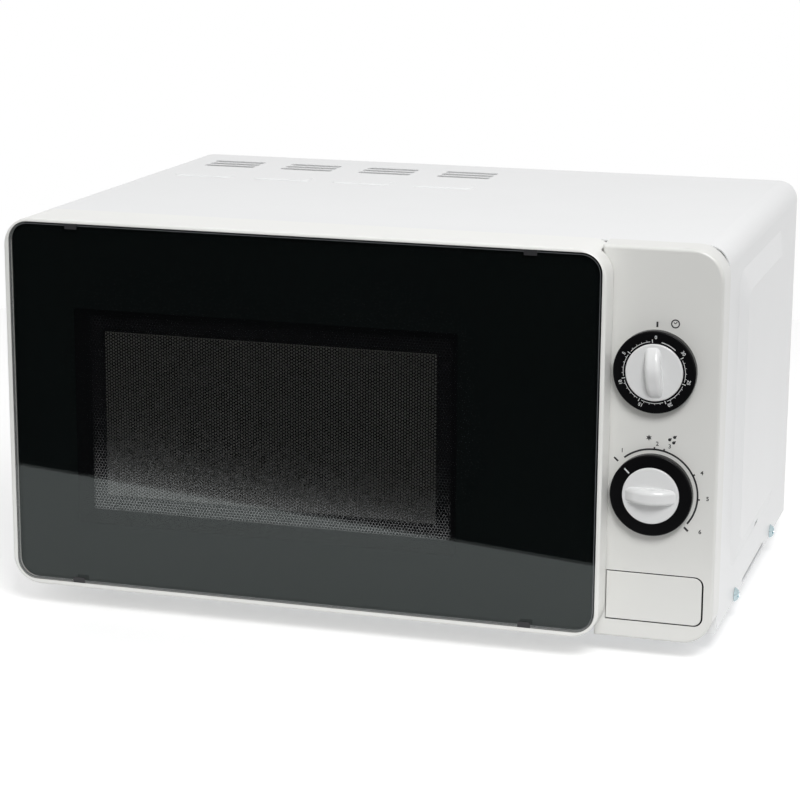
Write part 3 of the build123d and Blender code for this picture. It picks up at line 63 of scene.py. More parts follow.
def object_place(tree, stretch=(1, 1, 1)):
    """Object coordinates, stretched."""
    place = tree.nodes.new("ShaderNodeTexCoord")
    mapping = tree.nodes.new("ShaderNodeMapping")
    mapping.inputs["Scale"].default_value = stretch
    tree.links.new(place.outputs["Object"], mapping.inputs["Vector"])
    return mapping.outputs["Vector"]


def noise(tree, place, scale, detail):
    texture = tree.nodes.new("ShaderNodeTexNoise")
    texture.inputs["Scale"].default_value = scale
    texture.inputs["Detail"].default_value = detail
    tree.links.new(place, texture.inputs["Vector"])
    return texture.outputs["Fac"]


def cells(tree, place, scale):
    """Flat random grey cells, as in zinc spangle or mica."""
    texture = tree.nodes.new("ShaderNodeTexVoronoi")
    texture.inputs["Scale"].default_value = scale
    tree.links.new(place, texture.inputs["Vector"])
    grey = tree.nodes.new("ShaderNodeRGBToBW")
    tree.links.new(texture.outputs["Color"], grey.inputs["Color"])
    return grey.outputs["Val"]


def bands(tree, place, scale, axis):
    """Even parallel bands across one axis, as in wound wire or stacked sheet."""
    texture = tree.nodes.new("ShaderNodeTexWave")
    texture.bands_direction = axis
    texture.inputs["Scale"].default_value = scale
    texture.inputs["Distortion"].default_value = 0.3
    tree.links.new(place, texture.inputs["Vector"])
    return texture.outputs["Fac"]


def remap(tree, value, low, high, from_low=0.0, from_high=1.0):
    node = tree.nodes.new("ShaderNodeMapRange")
    node.inputs["From Min"].default_value = from_low
    node.inputs["From Max"].default_value = from_high
    node.inputs["To Min"].default_value = low
    node.inputs["To Max"].default_value = high
    tree.links.new(value, node.inputs["Value"])
    return node.outputs["Result"]


def two_tones(tree, value, dark, light):
    node = tree.nodes.new("ShaderNodeMix")
    node.data_type = "RGBA"
    tree.links.new(value, node.inputs["Factor"])
    node.inputs["A"].default_value = (*dark, 1)
    node.inputs["B"].default_value = (*light, 1)
    return node.outputs["Result"]


def relief(tree, shader, height, strength, depth):
    node = tree.nodes.new("ShaderNodeBump")
    node.inputs["Strength"].default_value = strength
    node.inputs["Distance"].default_value = depth
    tree.links.new(height, node.inputs["Height"])
    tree.links.new(node.outputs["Normal"], shader.inputs["Normal"])


def shade(colour, factor):
    return tuple(min(1.0, channel * factor) for channel in colour)


def finish_surface(tree, shader, tone, colour, contrast, rough_tone, roughness, rough_spread):
    """Two tones of a colour and a spread of roughness, each led by a texture."""
    dark = shade(colour, 1 - contrast)
    light = shade(colour, 1 + contrast)
    tree.links.new(two_tones(tree, tone, dark, light), shader.inputs["Base Color"])
    rough = remap(tree, rough_tone, roughness - rough_spread, roughness + rough_spread)
    tree.links.new(rough, shader.inputs["Roughness"])


# Kinds of surface
def moulded(name, colour, roughness, grain=1800, contrast=0.03, strength=0.12, coat=0.0, sheen=0.5):
    """Moulded plastic or rubber: fine grain with a slow change of tone."""
    material, tree, shader = new_material(name)
    place = object_place(tree)
    fine = noise(tree, place, grain, detail=2.0)
    slow = noise(tree, place, scale=22, detail=2.0)
    finish_surface(tree, shader, slow, colour, contrast, fine, roughness, rough_spread=0.05)
    relief(tree, shader, fine, strength, depth=0.05 * MM)
    shader.inputs["Specular IOR Level"].default_value = sheen
    shader.inputs["Coat Weight"].default_value = coat
    shader.inputs["Coat Roughness"].default_value = 0.12
    return material


def painted(name, colour, roughness):
    """Baked paint on sheet steel, with a faint orange peel."""
    material, tree, shader = new_material(name)
    place = object_place(tree)
    peel = noise(tree, place, scale=420, detail=1.5)
    slow = noise(tree, place, scale=14, detail=2.0)
    finish_surface(tree, shader, slow, colour, contrast=0.02, rough_tone=peel, roughness=roughness,
                   rough_spread=0.04)
    relief(tree, shader, peel, strength=0.1, depth=0.06 * MM)
    shader.inputs["Coat Weight"].default_value = 0.25
    shader.inputs["Coat Roughness"].default_value = 0.2
    return material


def speckled(name, colour, speck, roughness):
    """Stoved enamel with small darker specks."""
    material, tree, shader = new_material(name)
    place = object_place(tree)
    spots = noise(tree, place, scale=520, detail=3.0)
    dots = remap(tree, spots, low=0.0, high=1.0, from_low=0.36, from_high=0.46)
    tree.links.new(two_tones(tree, dots, speck, colour), shader.inputs["Base Color"])
    peel = noise(tree, place, scale=300, detail=2.0)
    rough_spread = 0.05
    rough = remap(tree, peel, roughness - rough_spread, roughness + rough_spread)
    tree.links.new(rough, shader.inputs["Roughness"])
    relief(tree, shader, peel, strength=0.1, depth=0.05 * MM)
    return material


def zinc(name, colour, roughness):
    """Galvanised sheet with its spangle."""
    material, tree, shader = new_material(name)
    place = object_place(tree)
    spangle = cells(tree, place, scale=190)
    finish_surface(tree, shader, spangle, colour, contrast=0.08, rough_tone=spangle, roughness=roughness,
                   rough_spread=0.07)
    relief(tree, shader, noise(tree, place, scale=900, detail=3.0), strength=0.08, depth=0.03 * MM)
    shader.inputs["Metallic"].default_value = 1.0
    return material


def drawn_metal(name, colour, roughness, stretch):
    """Turned or drawn metal with fine lines along one way."""
    material, tree, shader = new_material(name)
    place = object_place(tree, stretch)
    lines = noise(tree, place, scale=260, detail=4.0)
    finish_surface(tree, shader, lines, colour, contrast=0.12, rough_tone=lines, roughness=roughness,
                   rough_spread=0.08)
    relief(tree, shader, lines, strength=0.15, depth=0.03 * MM)
    shader.inputs["Metallic"].default_value = 1.0
    return material


def banded(name, dark, light, scale, axis, roughness, metallic):
    """Wound wire or stacked sheets."""
    material, tree, shader = new_material(name)
    place = object_place(tree)
    turns = bands(tree, place, scale, axis)
    tree.links.new(two_tones(tree, turns, dark, light), shader.inputs["Base Color"])
    tree.links.new(remap(tree, turns, roughness + 0.1, roughness), shader.inputs["Roughness"])
    relief(tree, shader, turns, strength=0.5, depth=0.2 * MM)
    shader.inputs["Metallic"].default_value = metallic
    return material


def mottled(name, dark, light, scale, roughness):
    """Pressed mica or a varnished board."""
    material, tree, shader = new_material(name)
    place = object_place(tree)
    flakes = cells(tree, place, scale)
    tree.links.new(two_tones(tree, flakes, dark, light), shader.inputs["Base Color"])
    rough_spread = 0.06
    rough = remap(tree, flakes, roughness - rough_spread, roughness + rough_spread)
    tree.links.new(rough, shader.inputs["Roughness"])
    relief(tree, shader, noise(tree, place, scale=700, detail=3.0), strength=0.2, depth=0.05 * MM)
    return material


def clear_sheet(name, colour, opacity, roughness, index, tint=(1, 1, 1)):
    """Glass or film: a share of the light goes straight through."""
    material, tree, shader = new_material(name)
    place = object_place(tree)
    slow = noise(tree, place, scale=9, detail=2.0)
    finish_surface(tree, shader, slow, colour, contrast=0.1, rough_tone=slow, roughness=roughness,
                   rough_spread=0.3 * roughness)
    shader.inputs["Alpha"].default_value = opacity
    shader.inputs["IOR"].default_value = index
    shader.inputs["Specular Tint"].default_value = (*tint, 1)
    return material


cover_paint = painted("cover_paint", (0.83, 0.835, 0.84), 0.36)
panel_plastic = moulded("panel_plastic", (0.742, 0.742, 0.718), 0.3, coat=0.2)
door_plastic = moulded("door_plastic", (0.84, 0.84, 0.815), 0.3, coat=0.2)
grip_plastic = moulded("grip_plastic", (0.77, 0.775, 0.775), 0.22, grain=1200, strength=0.06, coat=0.3)
dial_plastic = moulded("dial_plastic", (0.004, 0.004, 0.0045), 0.24, contrast=0.2, sheen=0.12)
clip_plastic = moulded("clip_plastic", (0.016, 0.016, 0.018), 0.4, contrast=0.2)
choke_plastic = moulded("choke_plastic", (0.035, 0.035, 0.038), 0.45, contrast=0.15, strength=0.25)
natural_plastic = moulded("natural_plastic", (0.74, 0.72, 0.66), 0.45)
switch_plastic = moulded("switch_plastic", (0.03, 0.03, 0.034), 0.5, contrast=0.15)
foot_rubber = moulded("foot_rubber", (0.022, 0.022, 0.023), 0.75, grain=900, contrast=0.2, strength=0.3)
bush_plastic = moulded("bush_plastic", (0.02, 0.02, 0.021), 0.6, contrast=0.2, strength=0.2)
enamel = speckled("enamel", (0.62, 0.625, 0.62), (0.42, 0.43, 0.43), 0.32)
galvanised = zinc("galvanised", (0.6, 0.615, 0.63), 0.38)
screw_zinc = drawn_metal("screw_zinc", (0.46, 0.56, 0.59), 0.2, stretch=(1, 6, 1))
bright_steel = drawn_metal("bright_steel", (0.66, 0.66, 0.66), 0.28, stretch=(6, 1, 1))
can_aluminium = drawn_metal("can_aluminium", (0.74, 0.75, 0.76), 0.35, stretch=(1, 1, 8))
core_iron = banded("core_iron", (0.1, 0.1, 0.11), (0.3, 0.3, 0.31), 320, "Y", 0.5, metallic=0.8)
winding_copper = banded("winding_copper", (0.25, 0.08, 0.03), (0.65, 0.3, 0.13), 180, "Z", 0.3, metallic=0.9)
mica = mottled("mica", (0.36, 0.28, 0.17), (0.56, 0.47, 0.32), 90, 0.55)
board_green = mottled("board_green", (0.02, 0.11, 0.05), (0.05, 0.2, 0.09), 260, 0.4)
glass_tint = (0.9, 1.0, 0.98)
pane_glass = clear_sheet("pane_glass", (0.004, 0.0045, 0.005), 0.3, 0.02, 2.0, tint=glass_tint)
border_black = clear_sheet("border_black", (0.0043, 0.0062, 0.0058), 1.0, 0.02, 1.44, tint=glass_tint)
film_plastic = clear_sheet("film_plastic", (0.57, 0.56, 0.52), 0.5, 0.08, 2.0)
lamp_glass = clear_sheet("lamp_glass", (0.75, 0.75, 0.72), 0.35, 0.06, 1.5)
tray_glass = clear_sheet("tray_glass", (0.6, 0.68, 0.66), 0.4, 0.05, 1.5)
screen_metal = drawn_metal("screen_metal", (0.42, 0.43, 0.43), 0.16, stretch=(1, 1, 1))
glass_edge = moulded("glass_edge", (0.1, 0.105, 0.11), 0.2, contrast=0.15, coat=0.3)
# Painted shade for the gap round the door button
painted_shade_black = moulded("painted_shade_black", (0.005, 0.005, 0.0055), 0.5, contrast=0.3, sheen=0.0)
edge_black = moulded("edge_black", (0.006, 0.006, 0.0065), 0.6, contrast=0.2, sheen=0.0)
print_white = moulded("print_white", (0.62, 0.63, 0.64), 0.5)
print_dark = moulded("print_dark", (0.012, 0.012, 0.014), 0.45, contrast=0.2)

node_materials = {
    cover_paint: ["outer_cover"],
    panel_plastic: ["control_panel", "door_button"],
    door_plastic: ["door_frame"],
    grip_plastic: ["timer_knob", "power_knob"],
    dial_plastic: ["timer_dial", "power_dial"],
    clip_plastic: ["pane_clips"],
    choke_plastic: ["choke_cover"],
    natural_plastic: ["door_latch", "release_lever", "latch_board", "timer_unit", "power_selector",
                      "fan_shroud", "lamp_holder", "turntable_coupler", "turntable_shaft", "roller_ring",
                      "roller_wheel_1", "roller_wheel_2", "roller_wheel_3"],
    switch_plastic: ["interlock_switches", "hv_diode", "fan_blade", "thermal_cutout"],
    foot_rubber: ["feet"],
    bush_plastic: ["inlet_bush"],
    enamel: ["front_plate", "cavity_floor", "cavity_left_wall", "cavity_right_wall", "cavity_rear_wall"],
    galvanised: ["base_plate", "rear_panel", "capacitor_bracket", "waveguide", "choke_frame",
                 "hinge_brackets", "fan_motor", "magnetron", "cavity_ceiling"],
    screw_zinc: ["case_screws"],
    bright_steel: ["timer_shaft", "power_shaft", "fan_shaft", "button_spring", "latch_spring"],
    can_aluminium: ["hv_capacitor", "turntable_motor"],
    core_iron: ["transformer_core"],
    winding_copper: ["transformer_windings"],
    mica: ["waveguide_cover"],
    board_green: ["filter_board"],
    pane_glass: ["door_pane"],
    film_plastic: ["door_film"],
    lamp_glass: ["cavity_lamp"],
    tray_glass: ["glass_tray"],
    screen_metal: ["door_screen"],
}
for material, names in node_materials.items():
    for name in names:
        nodes[name].data.materials.clear()
        nodes[name].data.materials.append(material)


# Pieces in mesh code
def add_piece(name, points, faces, material, body, slot):
    mesh = bpy.data.meshes.new(name)
    mesh.from_pydata(points, [], faces)
    mesh.materials.append(material)
    piece = bpy.data.objects.new(name, mesh)
    bpy.context.scene.collection.objects.link(piece)
    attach(piece, body)
    return piece


def moved_faces(faces, start):
    """The same faces on points that stand further along a list."""
    return [[start + index for index in face] for face in faces]


class Print:
    """Flat printed marks that all lie in one plane facing the front."""

    def __init__(self, y):
        self.y = y
        self.points = []
        self.faces = []

    def face(self, outline):
        start = len(self.points)
        self.points += [(x, self.y, z) for x, z in outline]
        self.faces.append(list(range(start, start + len(outline))))

    def strip(self, one_side, other_side):
        for index in range(len(one_side) - 1):
            self.face([one_side[index], one_side[index + 1], other_side[index + 1], other_side[index]])

    def arc(self, centre, inner, outer, first, last):
        """A band of a ring. Angles are clockwise from the top, in degrees."""
        degrees_a_step = 3
        steps = max(2, round(abs(last - first) / degrees_a_step))
        angles = [first + (last - first) * index / steps for index in range(steps + 1)]
        self.strip([polar(centre, inner, angle) for angle in angles],
                   [polar(centre, outer, angle) for angle in angles])

    def ray(self, centre, inner, outer, angle, width):
        """A straight mark that points away from a centre."""
        along = (sin(radians(angle)), cos(radians(angle)))
        across = (along[1] * width / 2, -along[0] * width / 2)
        near = polar(centre, inner, angle)
        far = polar(centre, outer, angle)
        self.face([(near[0] - across[0], near[1] - across[1]), (near[0] + across[0], near[1] + across[1]),
                   (far[0] + across[0], far[1] + across[1]), (far[0] - across[0], far[1] - across[1])])

    def drop(self, centre, radius, lean):
        """A round drop with a tip, leaning by an angle from the vertical."""
        steps = 18
        half_opening = 35
        sweep = 360 - 2 * half_opening
        angles = [lean + half_opening + sweep * index / steps for index in range(steps + 1)]
        tip = polar(centre, 1.9 * radius, lean)
        self.face([polar(centre, radius, angle) for angle in reversed(angles)] + [tip])

    def frame(self, outside, inside):
        """The band between two outlines of as many points."""
        self.strip(outside + outside[:1], inside + inside[:1])

    def number(self, text, size, place):
        """Digits from the built-in font, flattened into the print's plane by a placing matrix."""
        curve = bpy.data.curves.new("digits", "FONT")
        curve.body = text
        curve.size = size
        curve.offset = 0.02 * size
        curve.align_x = "CENTER"
        curve.align_y = "CENTER"
        curve.resolution_u = 3
        holder = bpy.data.objects.new("digits", curve)
        mesh = bpy.data.meshes.new_from_object(holder)
        start = len(self.points)
        for vertex in mesh.vertices:
            spot = place @ Vector((vertex.co.x, 0, vertex.co.y))
            self.points.append((spot.x, self.y, spot.z))
        self.faces += moved_faces([face.vertices for face in mesh.polygons], start)
        bpy.data.objects.remove(holder)
        bpy.data.curves.remove(curve)
        bpy.data.meshes.remove(mesh)

    def done(self, name, material, body, slot):
        return add_piece(name, self.points, self.faces, material, body, slot)


def polar(centre, radius, angle):
    """A point at an angle clockwise from the top, in degrees."""
    return centre[0] + radius * sin(radians(angle)), centre[1] + radius * cos(radians(angle))


def flat(corner):
    return corner.x, corner.z


def flat_middle(low, high):
    return (low.x + high.x) / 2, (low.z + high.z) / 2


def rounded_box(low, high, corner, steps=8):
    """Outline of a rectangle with round corners, anticlockwise seen from the front."""
    quarters = ((high[0] - corner, low[1] + corner, 180), (high[0] - corner, high[1] - corner, 90),
                (low[0] + corner, high[1] - corner, 0), (low[0] + corner, low[1] + corner, -90))
    outline = []
    for middle_x, middle_z, first in quarters:
        for index in range(steps + 1):
            outline.append(polar((middle_x, middle_z), corner, first - 90 * index / steps))
    return outline


def grown_box(low, high, growth, corner):
    """A rounded box that stands out past two corners by a growth, or in from them where it is negative."""
    return rounded_box((low[0] - growth, low[1] - growth), (high[0] + growth, high[1] + growth), corner)


# Door pane: a black border round a clear window on its back, and a thin line at its front edge
pane_low, pane_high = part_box("door_pane")
pane_corner = 13 * MM
window_low = (-0.174, 0.0655)
window_high = (0.063, 0.1915)
clear_margin = 6.5 * MM
clear_corner = 2 * MM
border_inset = 0.8 * MM
border = Print(pane_high.y - 0.05 * MM)
border.frame(grown_box(flat(pane_low), flat(pane_high), -border_inset, pane_corner - border_inset),
             grown_box(window_low, window_high, clear_margin, clear_corner))
border.done("pane_border", border_black, "door", "pane_black")
edge_line = Print(pane_low.y - PRINT_LIFT)
edge_line.frame(*[grown_box(flat(pane_low), flat(pane_high), -inset, pane_corner - inset)
                  for inset in (0.9 * MM, 1.4 * MM)])
edge_line.done("pane_edge", glass_edge, "door", "pane_black")


# Door screen: a perforated sheet behind the pane
def lies_inside(spot, low, high):
    return all(low[axis] < spot[axis] < high[axis] for axis in (0, 1))


def perforated_field(low, high, y, hole, level_rows, left_free=None):
    """Six-sided cells with a hole in each, in level rows or upright columns, round a field left free."""
    pitch = 2.02 * MM
    spacing = pitch * sqrt(3) / 2
    cell = pitch / sqrt(3)
    across_step, up_step = (pitch, spacing) if level_rows else (spacing, pitch)
    first_turn = 0 if level_rows else 90
    turns = [first_turn - 60 * side for side in range(6)]
    columns = round((high[0] - low[0]) / across_step)
    rows = round((high[1] - low[1]) / up_step)
    first_x = (low[0] + high[0] - (columns - 1) * across_step) / 2
    first_z = (low[1] + high[1] - (rows - 1) * up_step) / 2
    points = []
    faces = []
    found = {}

    def point(x, z):
        key = (round(x * 1e6), round(z * 1e6))
        if key not in found:
            found[key] = len(points)
            points.append((x, y, z))
        return found[key]

    for across in range(columns):
        for up in range(rows):
            aside = 0.5 * (up % 2) - 0.25 if level_rows else 0
            lift = 0 if level_rows else 0.5 * (across % 2) - 0.25
            middle = (first_x + (across + aside) * across_step, first_z + (up + lift) * up_step)
            if left_free and lies_inside(middle, *left_free):
                continue
            outer = [point(*polar(middle, cell, turn)) for turn in turns]
            inner = [point(*polar(middle, hole, turn)) for turn in turns]
            for side in range(6):
                after = (side + 1) % 6
                faces.append([outer[side], outer[after], inner[after], inner[side]])
    return points, faces


# An outer band of holes has a dark edge behind it, so that only the inner field looks into the cavity
screen_low, screen_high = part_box("door_screen")
band_width = 9.5 * MM
inner_low = (window_low[0] + band_width, window_low[1] + band_width)
inner_high = (window_high[0] - band_width, window_high[1] - band_width)
screen_points, screen_faces = perforated_field(window_low, window_high, screen_low.y + 0.05 * MM,
                                               hole=0.86 * MM, level_rows=True,
                                               left_free=(inner_low, inner_high))
inner_points, inner_faces = perforated_field(inner_low, inner_high, screen_low.y,
                                             hole=0.72 * MM, level_rows=False)
screen_faces += moved_faces(inner_faces, len(screen_points))
screen_points += inner_points
screen = add_piece("perforated_screen", screen_points, screen_faces, screen_metal, "door", "screen_dark")
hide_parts("door_screen")
backing_corner = 1 * MM
backing = Print(screen_low.y + 0.3 * MM)
backing.frame(rounded_box(flat(screen_low), flat(screen_high), backing_corner),
              rounded_box(inner_low, inner_high, backing_corner))
backing.done("screen_edge", edge_black, "door", "screen_dark")

# Timer dial: minutes run anticlockwise from 0, which stands five degrees left of the top at rest
dial_low, dial_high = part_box("timer_dial")
timer_axis = flat_middle(dial_low, dial_high)
lean_angle = -5
step_angle = -49.3
minutes_a_step = 5
steps_on_dial = 6
scale_radius = 18.5 * MM
line_width = 0.32 * MM
line_gap = 4
number_radius = 21.2 * MM
number_size = 2.9 * MM
number_turn = 6
timer_marks = Print(dial_low.y - PRINT_LIFT)
for step in range(steps_on_dial + 1):
    angle = lean_angle + step_angle * step
    timer_marks.ray(timer_axis, scale_radius - 0.6 * MM, scale_radius + 1.5 * MM, angle, 1.5 * line_width)
    number_angle = angle + (number_turn if step == 0 else -number_turn)
    place = (Matrix.Translation((timer_axis[0], 0, timer_axis[1]))
             @ Matrix.Rotation(radians(number_angle), 4, "Y")
             @ Matrix.Translation((0, 0, number_radius)))
    timer_marks.number(str(minutes_a_step * step), number_size, place)
    if step < steps_on_dial:
        timer_marks.arc(timer_axis, scale_radius, scale_radius + line_width,
                        angle - line_gap, angle + step_angle + line_gap)
        for minute in range(1, minutes_a_step):
            tick = angle + step_angle * minute / minutes_a_step
            timer_marks.ray(timer_axis, scale_radius, scale_radius + 1.1 * MM, tick, line_width)
timer_marks.arc(timer_axis, scale_radius, scale_radius + 1.6 * line_width, first=12, last=41)
timer_marks.done("timer_marks", print_white, "timer", "dial_black")

# Power dial: one pointer line
power_low, power_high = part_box("power_dial")
power_axis = flat_middle(power_low, power_high)
pointer = Print(power_low.y - PRINT_LIFT)
pointer.ray(power_axis, 18.6 * MM, 22.6 * MM, angle=-46, width=0.9 * MM)
pointer.done("power_pointer", print_white, "power", "dial_black")

# Prints on the control panel: a mark and a clock sign above the timer
panel_low, panel_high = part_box("control_panel")
signs = Print(panel_low.y - 0.05 * MM)
signs.ray(timer_axis, 26.4 * MM, 29.7 * MM, angle=0, width=1.2 * MM)
clock = (0.1978, 0.2090)
hand_width = 0.5 * MM
signs.arc(clock, 1.95 * MM, 2.7 * MM, first=0, last=360)
signs.ray(clock, 0, 1.6 * MM, 42, hand_width)
signs.ray(clock, 0, 1.3 * MM, -50, hand_width)

# An arc round the power dial, with a mark at each end and four ticks
arc_radius = 27.2 * MM
signs.arc(power_axis, arc_radius - 0.3 * MM, arc_radius + 0.8 * MM, first=-40, last=128)
signs.ray(power_axis, 28.2 * MM, 31.6 * MM, angle=-49, width=1.1 * MM)
signs.ray(power_axis, 27.6 * MM, 31.0 * MM, angle=134, width=1.3 * MM)
for tick in (1, 13, 61.5, 93):
    signs.ray(power_axis, arc_radius, arc_radius + 1.7 * MM, tick, width=1.0 * MM)

# Numbers along the arc, each at an angle and a radius
digit_size = 3.6 * MM
number_places = ((-37, 31.6 * MM), (4, 31.0 * MM), (18, 31.4 * MM), (63, 33.2 * MM), (91, 33.5 * MM),
                 (126, 36.5 * MM))
for index, (angle, radius) in enumerate(number_places):
    spot = polar(power_axis, radius, angle)
    signs.number(str(index + 1), digit_size, Matrix.Translation((spot[0], 0, spot[1])))

# A flake and three drops for thawing
flake = polar(power_axis, 34.5 * MM, -5)
flake_reach = 1.7 * MM
for angle in range(0, 180, 60):
    signs.ray(flake, -flake_reach, flake_reach, angle, width=0.45 * MM)
signs.arc(flake, 0.7 * MM, 1.1 * MM, first=0, last=360)
for drop_place in ((0.1965, 0.1385), (0.1995, 0.1402), (0.1990, 0.1368)):
    signs.drop(drop_place, radius=0.95 * MM, lean=50)
signs.done("panel_signs", print_dark, "cabinet", "panel_white")


# The cover's front return, which closes the corner behind the panel's round lower edge
def thin_plate(outline, front_y, back_y):
    """A flat plate with an outline seen from the front."""
    around = len(outline)
    points = [(x, y, z) for y in (front_y, back_y) for x, z in outline]
    faces = [list(range(around)), list(range(around, 2 * around))[::-1]]
    for index in range(around):
        after = (index + 1) % around
        faces.append([after, index, around + index, around + after])
    return points, faces


return_outline = [(0.204, 0.0121), (0.2234, 0.0121), (0.2249, 0.0145), (0.2249, 0.036), (0.2205, 0.036),
                  (0.204, 0.020)]
return_front = panel_high.y + 0.1 * MM
return_thickness = 0.5 * MM
add_piece("cover_return", *thin_plate(return_outline, return_front, return_front + return_thickness),
          cover_paint, "cabinet", "cover_paint")

# Painted shade: a dark line over the gap round the door button, wider at the right, whose left end lies at
# the door's edge and has no line
button_low, button_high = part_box("door_button")
button_corner = 5 * MM
line_inset = 0.04 * MM
line_reach = 0.6 * MM
line_reach_right = 1.0 * MM


def button_outline(offset, right_offset):
    """The button's outline at an offset, from its lower left end round the right to its upper left end."""
    low = (button_low.x, button_low.z - offset)
    high = (button_high.x + right_offset, button_high.z + offset)
    outline = rounded_box(low, high, button_corner + offset)
    return [low] + outline[:len(outline) // 2] + [(low[0], high[1])]


# Painted shade in the button's gap, laid on the panel as a flat print
button_gap_shade = Print(panel_low.y - PRINT_LIFT)
button_gap_shade.strip(button_outline(line_reach, line_reach_right), button_outline(line_inset, line_inset))
button_gap_shade.done("button_gap_shade", painted_shade_black, "cabinet", "panel_white")


# Case screws: domed heads with a cross recess, turned about the X axis
def screw_head(centre, side, radius, height):
    rings = 16
    around = 64
    dome_power = 3.2
    arm_half_width = 0.14 * radius
    arm_length = 0.66 * radius
    recess = 0.55 * height
    points = []
    faces = []
    for ring in range(rings + 1):
        share = ring / rings
        for index in range(around):
            angle = TURN * index / around
            y = radius * share * cos(angle)
            z = radius * share * sin(angle)
            rise = height * (1 - share ** dome_power)
            if min(abs(y), abs(z)) < arm_half_width and max(abs(y), abs(z)) < arm_length:
                rise -= recess
            points.append((centre.x + side * rise, centre.y + y, centre.z + z))
    for ring in range(rings):
        for index in range(around):
            after = (index + 1) % around
            corners = [ring * around + index, ring * around + after, (ring + 1) * around + after,
                       (ring + 1) * around + index]
            faces.append(corners if side < 0 else corners[::-1])
    return points, faces


head_height = 2.9 * MM
screw_points = []
screw_faces = []
spots = [vertex.co for vertex in nodes["case_screws"].data.vertices]
middle_y = (min(spot.y for spot in spots) + max(spot.y for spot in spots)) / 2
for side in (-1, 1):
    for rear in (False, True):
        head = [spot for spot in spots if side * spot.x > 0 and (spot.y > middle_y) == rear]
        low = Vector([min(spot[axis] for spot in head) for axis in range(3)])
        high = Vector([max(spot[axis] for spot in head) for axis in range(3)])
        tip = max(abs(low.x), abs(high.x))
        centre = Vector((side * (tip - head_height), (low.y + high.y) / 2, (low.z + high.z) / 2))
        points, faces = screw_head(centre, side, (high.y - low.y) / 2, head_height)
        screw_faces += moved_faces(faces, len(screw_points))
        screw_points += points
screws = add_piece("screw_heads", screw_points, screw_faces, screw_zinc, "cabinet", "screw_steel")
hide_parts("case_screws")


# Button spring: the same coil as the solid one, with a mesh of its own
def coil(centre, start_y, end_y, radius, wire, turns):
    around = 10
    steps_a_turn = 28
    steps = steps_a_turn * turns
    points = []
    faces = []
    for step in range(steps + 1):
        angle = TURN * step / steps_a_turn
        along = start_y + wire + (end_y - start_y - 2 * wire) * step / steps
        for index in range(around):
            bead = TURN * index / around
            reach = radius + wire * cos(bead)
            points.append((centre[0] + reach * cos(angle), along + wire * sin(bead),
                           centre[1] + reach * sin(angle)))
    for step in range(steps):
        for index in range(around):
            after = (index + 1) % around
            faces.append([step * around + index, step * around + after, (step + 1) * around + after,
                          (step + 1) * around + index])
    faces.append(list(range(around)))
    faces.append(list(range(steps * around, (steps + 1) * around))[::-1])
    return points, faces


spring_low, spring_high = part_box("button_spring")
spring_middle = flat_middle(spring_low, spring_high)
spring_points, spring_faces = coil(spring_middle, spring_low.y, spring_high.y,
                                   radius=3.2 * MM, wire=0.25 * MM, turns=7)
spring = add_piece("button_coil", spring_points, spring_faces, bright_steel, "cabinet", "shaft_steel")
for face in spring.data.polygons:
    face.use_smooth = True
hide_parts("button_spring")
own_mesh(spring)


# Floor: its front part is mirrored as a dark card, so the pane is dark above a bright band
def stage_quad(name, corners, material):
    mesh = bpy.data.meshes.new(name)
    mesh.from_pydata(corners, [], [list(range(len(corners)))])
    mesh.materials.append(material)
    piece = bpy.data.objects.new(name, mesh)
    bpy.context.scene.collection.objects.link(piece)
    return piece


def seen_level(tree, otherwise, seen):
    """One level where a surface is seen, mirrored or looked through, another where it only sheds light."""
    paths = tree.nodes.new("ShaderNodeLightPath")
    value = paths.outputs["Is Camera Ray"]
    for kind in ("Is Transmission Ray", "Is Glossy Ray"):
        larger = tree.nodes.new("ShaderNodeMath")
        larger.operation = "MAXIMUM"
        tree.links.new(value, larger.inputs[0])
        tree.links.new(paths.outputs[kind], larger.inputs[1])
        value = larger.outputs[0]
    return remap(tree, value, otherwise, seen)


floor_paint = moulded("floor_paint", (0.84, 0.84, 0.84), 0.6, contrast=0.01, strength=0.0, sheen=0.2)
floor_tree = floor_paint.node_tree
floor_shader = floor_tree.nodes["Principled BSDF"]
floor_shader.inputs["Emission Color"].default_value = (1, 1, 1, 1)
floor_glow = seen_level(floor_tree, otherwise=0.0, seen=0.38)
floor_tree.links.new(floor_glow, floor_shader.inputs["Emission Strength"])
card_paint = moulded("card_paint", (0.012, 0.012, 0.013), 0.9, sheen=0.0)

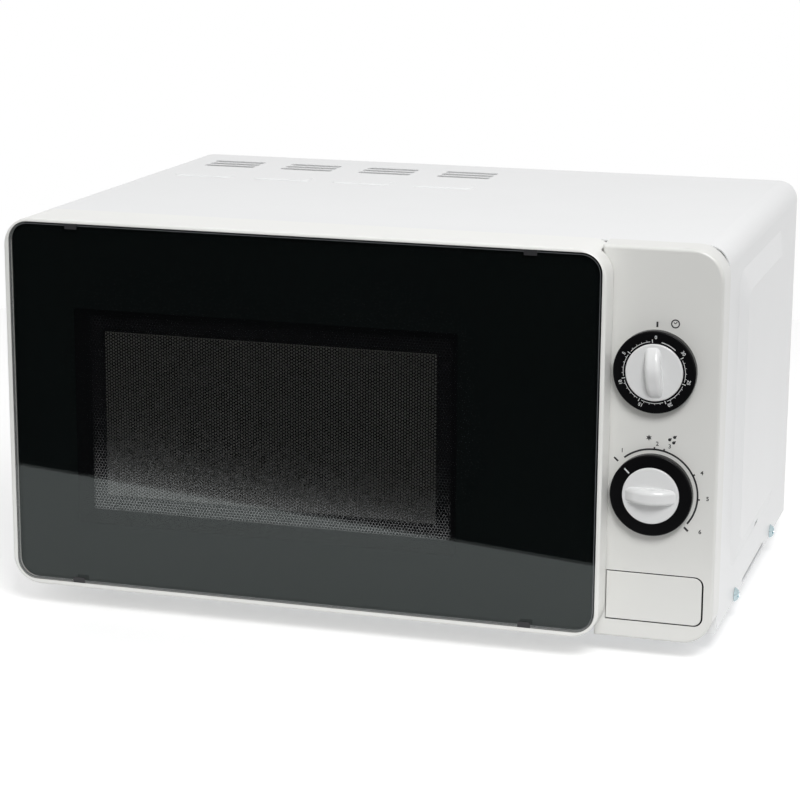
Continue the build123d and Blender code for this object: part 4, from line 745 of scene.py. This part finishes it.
# The line on the floor whose mirror image is the upper edge of the bright band in the pane
edge_left = Vector((-0.396, -0.492, 0))
edge_way = Vector((0.114, -0.362, 0)) - edge_left
far_left = edge_left - 8 * edge_way
far_right = edge_left + 10 * edge_way
to_rear = Vector((0, 1.3, 0))
to_front = Vector((0, -5, 0))
below = Vector((0, 0, -3 * MM))
stage_quad("floor", [far_left, far_right, far_right + to_rear, far_left + to_rear], floor_paint)
card_corners = [far_left, far_left + to_front, far_right + to_front, far_right]
card = stage_quad("card", [corner + below for corner in card_corners], card_paint)
card.visible_camera = False
front_floor = stage_quad("front_floor", card_corners, floor_paint)
front_floor.visible_glossy = False
front_floor.visible_diffuse = False


# Lights and world
def area_light(name, place, target, size, power):
    light = bpy.data.lights.new(name, "AREA")
    light.shape = "RECTANGLE"
    light.size = size[0]
    light.size_y = size[1]
    light.energy = power
    holder = bpy.data.objects.new(name, light)
    holder.location = place
    holder.rotation_euler = (Vector(target) - Vector(place)).to_track_quat("-Z", "Y").to_euler()
    bpy.context.scene.collection.objects.link(holder)


area_light("top_light", (0.0, 0.1, 1.7), target=(0, 0, 0.1), size=(2.0, 1.6), power=2.5)
area_light("right_light", (1.9, -0.7, 0.9), target=(0, 0, 0.15), size=(1.4, 1.2), power=0.5)
area_light("front_light", (0.75, -1.4, 1.55), target=(0.1, -0.1, 0.2), size=(0.8, 0.7), power=25)

world = bpy.data.worlds.new("surroundings")
bpy.context.scene.world = world
world.use_nodes = True
sky = world.node_tree
background = sky.nodes["Background"]
background.inputs["Color"].default_value = (1, 1, 1, 1)
sky.links.new(seen_level(sky, otherwise=0.45, seen=1.0), background.inputs["Strength"])

# Camera, from the right and above, with its angles in radians
camera_data = bpy.data.cameras.new("camera")
camera_data.sensor_width = 36
camera_data.lens = 109.66
camera_data.clip_end = 50
camera = bpy.data.objects.new("camera", camera_data)
camera_place = Vector((0.4496, -1.5391, 0.4933))
yaw = 0.2933
pitch = 0.2312
roll = 0.006
right = Vector((cos(yaw), sin(yaw), 0))
ahead = Vector((-sin(yaw) * cos(pitch), cos(yaw) * cos(pitch), -sin(pitch)))
up = right.cross(ahead)
turned_right = right * cos(roll) + up * sin(roll)
turned_up = up * cos(roll) - right * sin(roll)
camera_turn = Matrix((turned_right, turned_up, -ahead)).transposed().to_4x4()
camera.matrix_world = Matrix.Translation(camera_place) @ camera_turn
bpy.context.scene.collection.objects.link(camera)
bpy.context.scene.camera = camera
bpy.context.scene.view_settings.view_transform = "Standard"
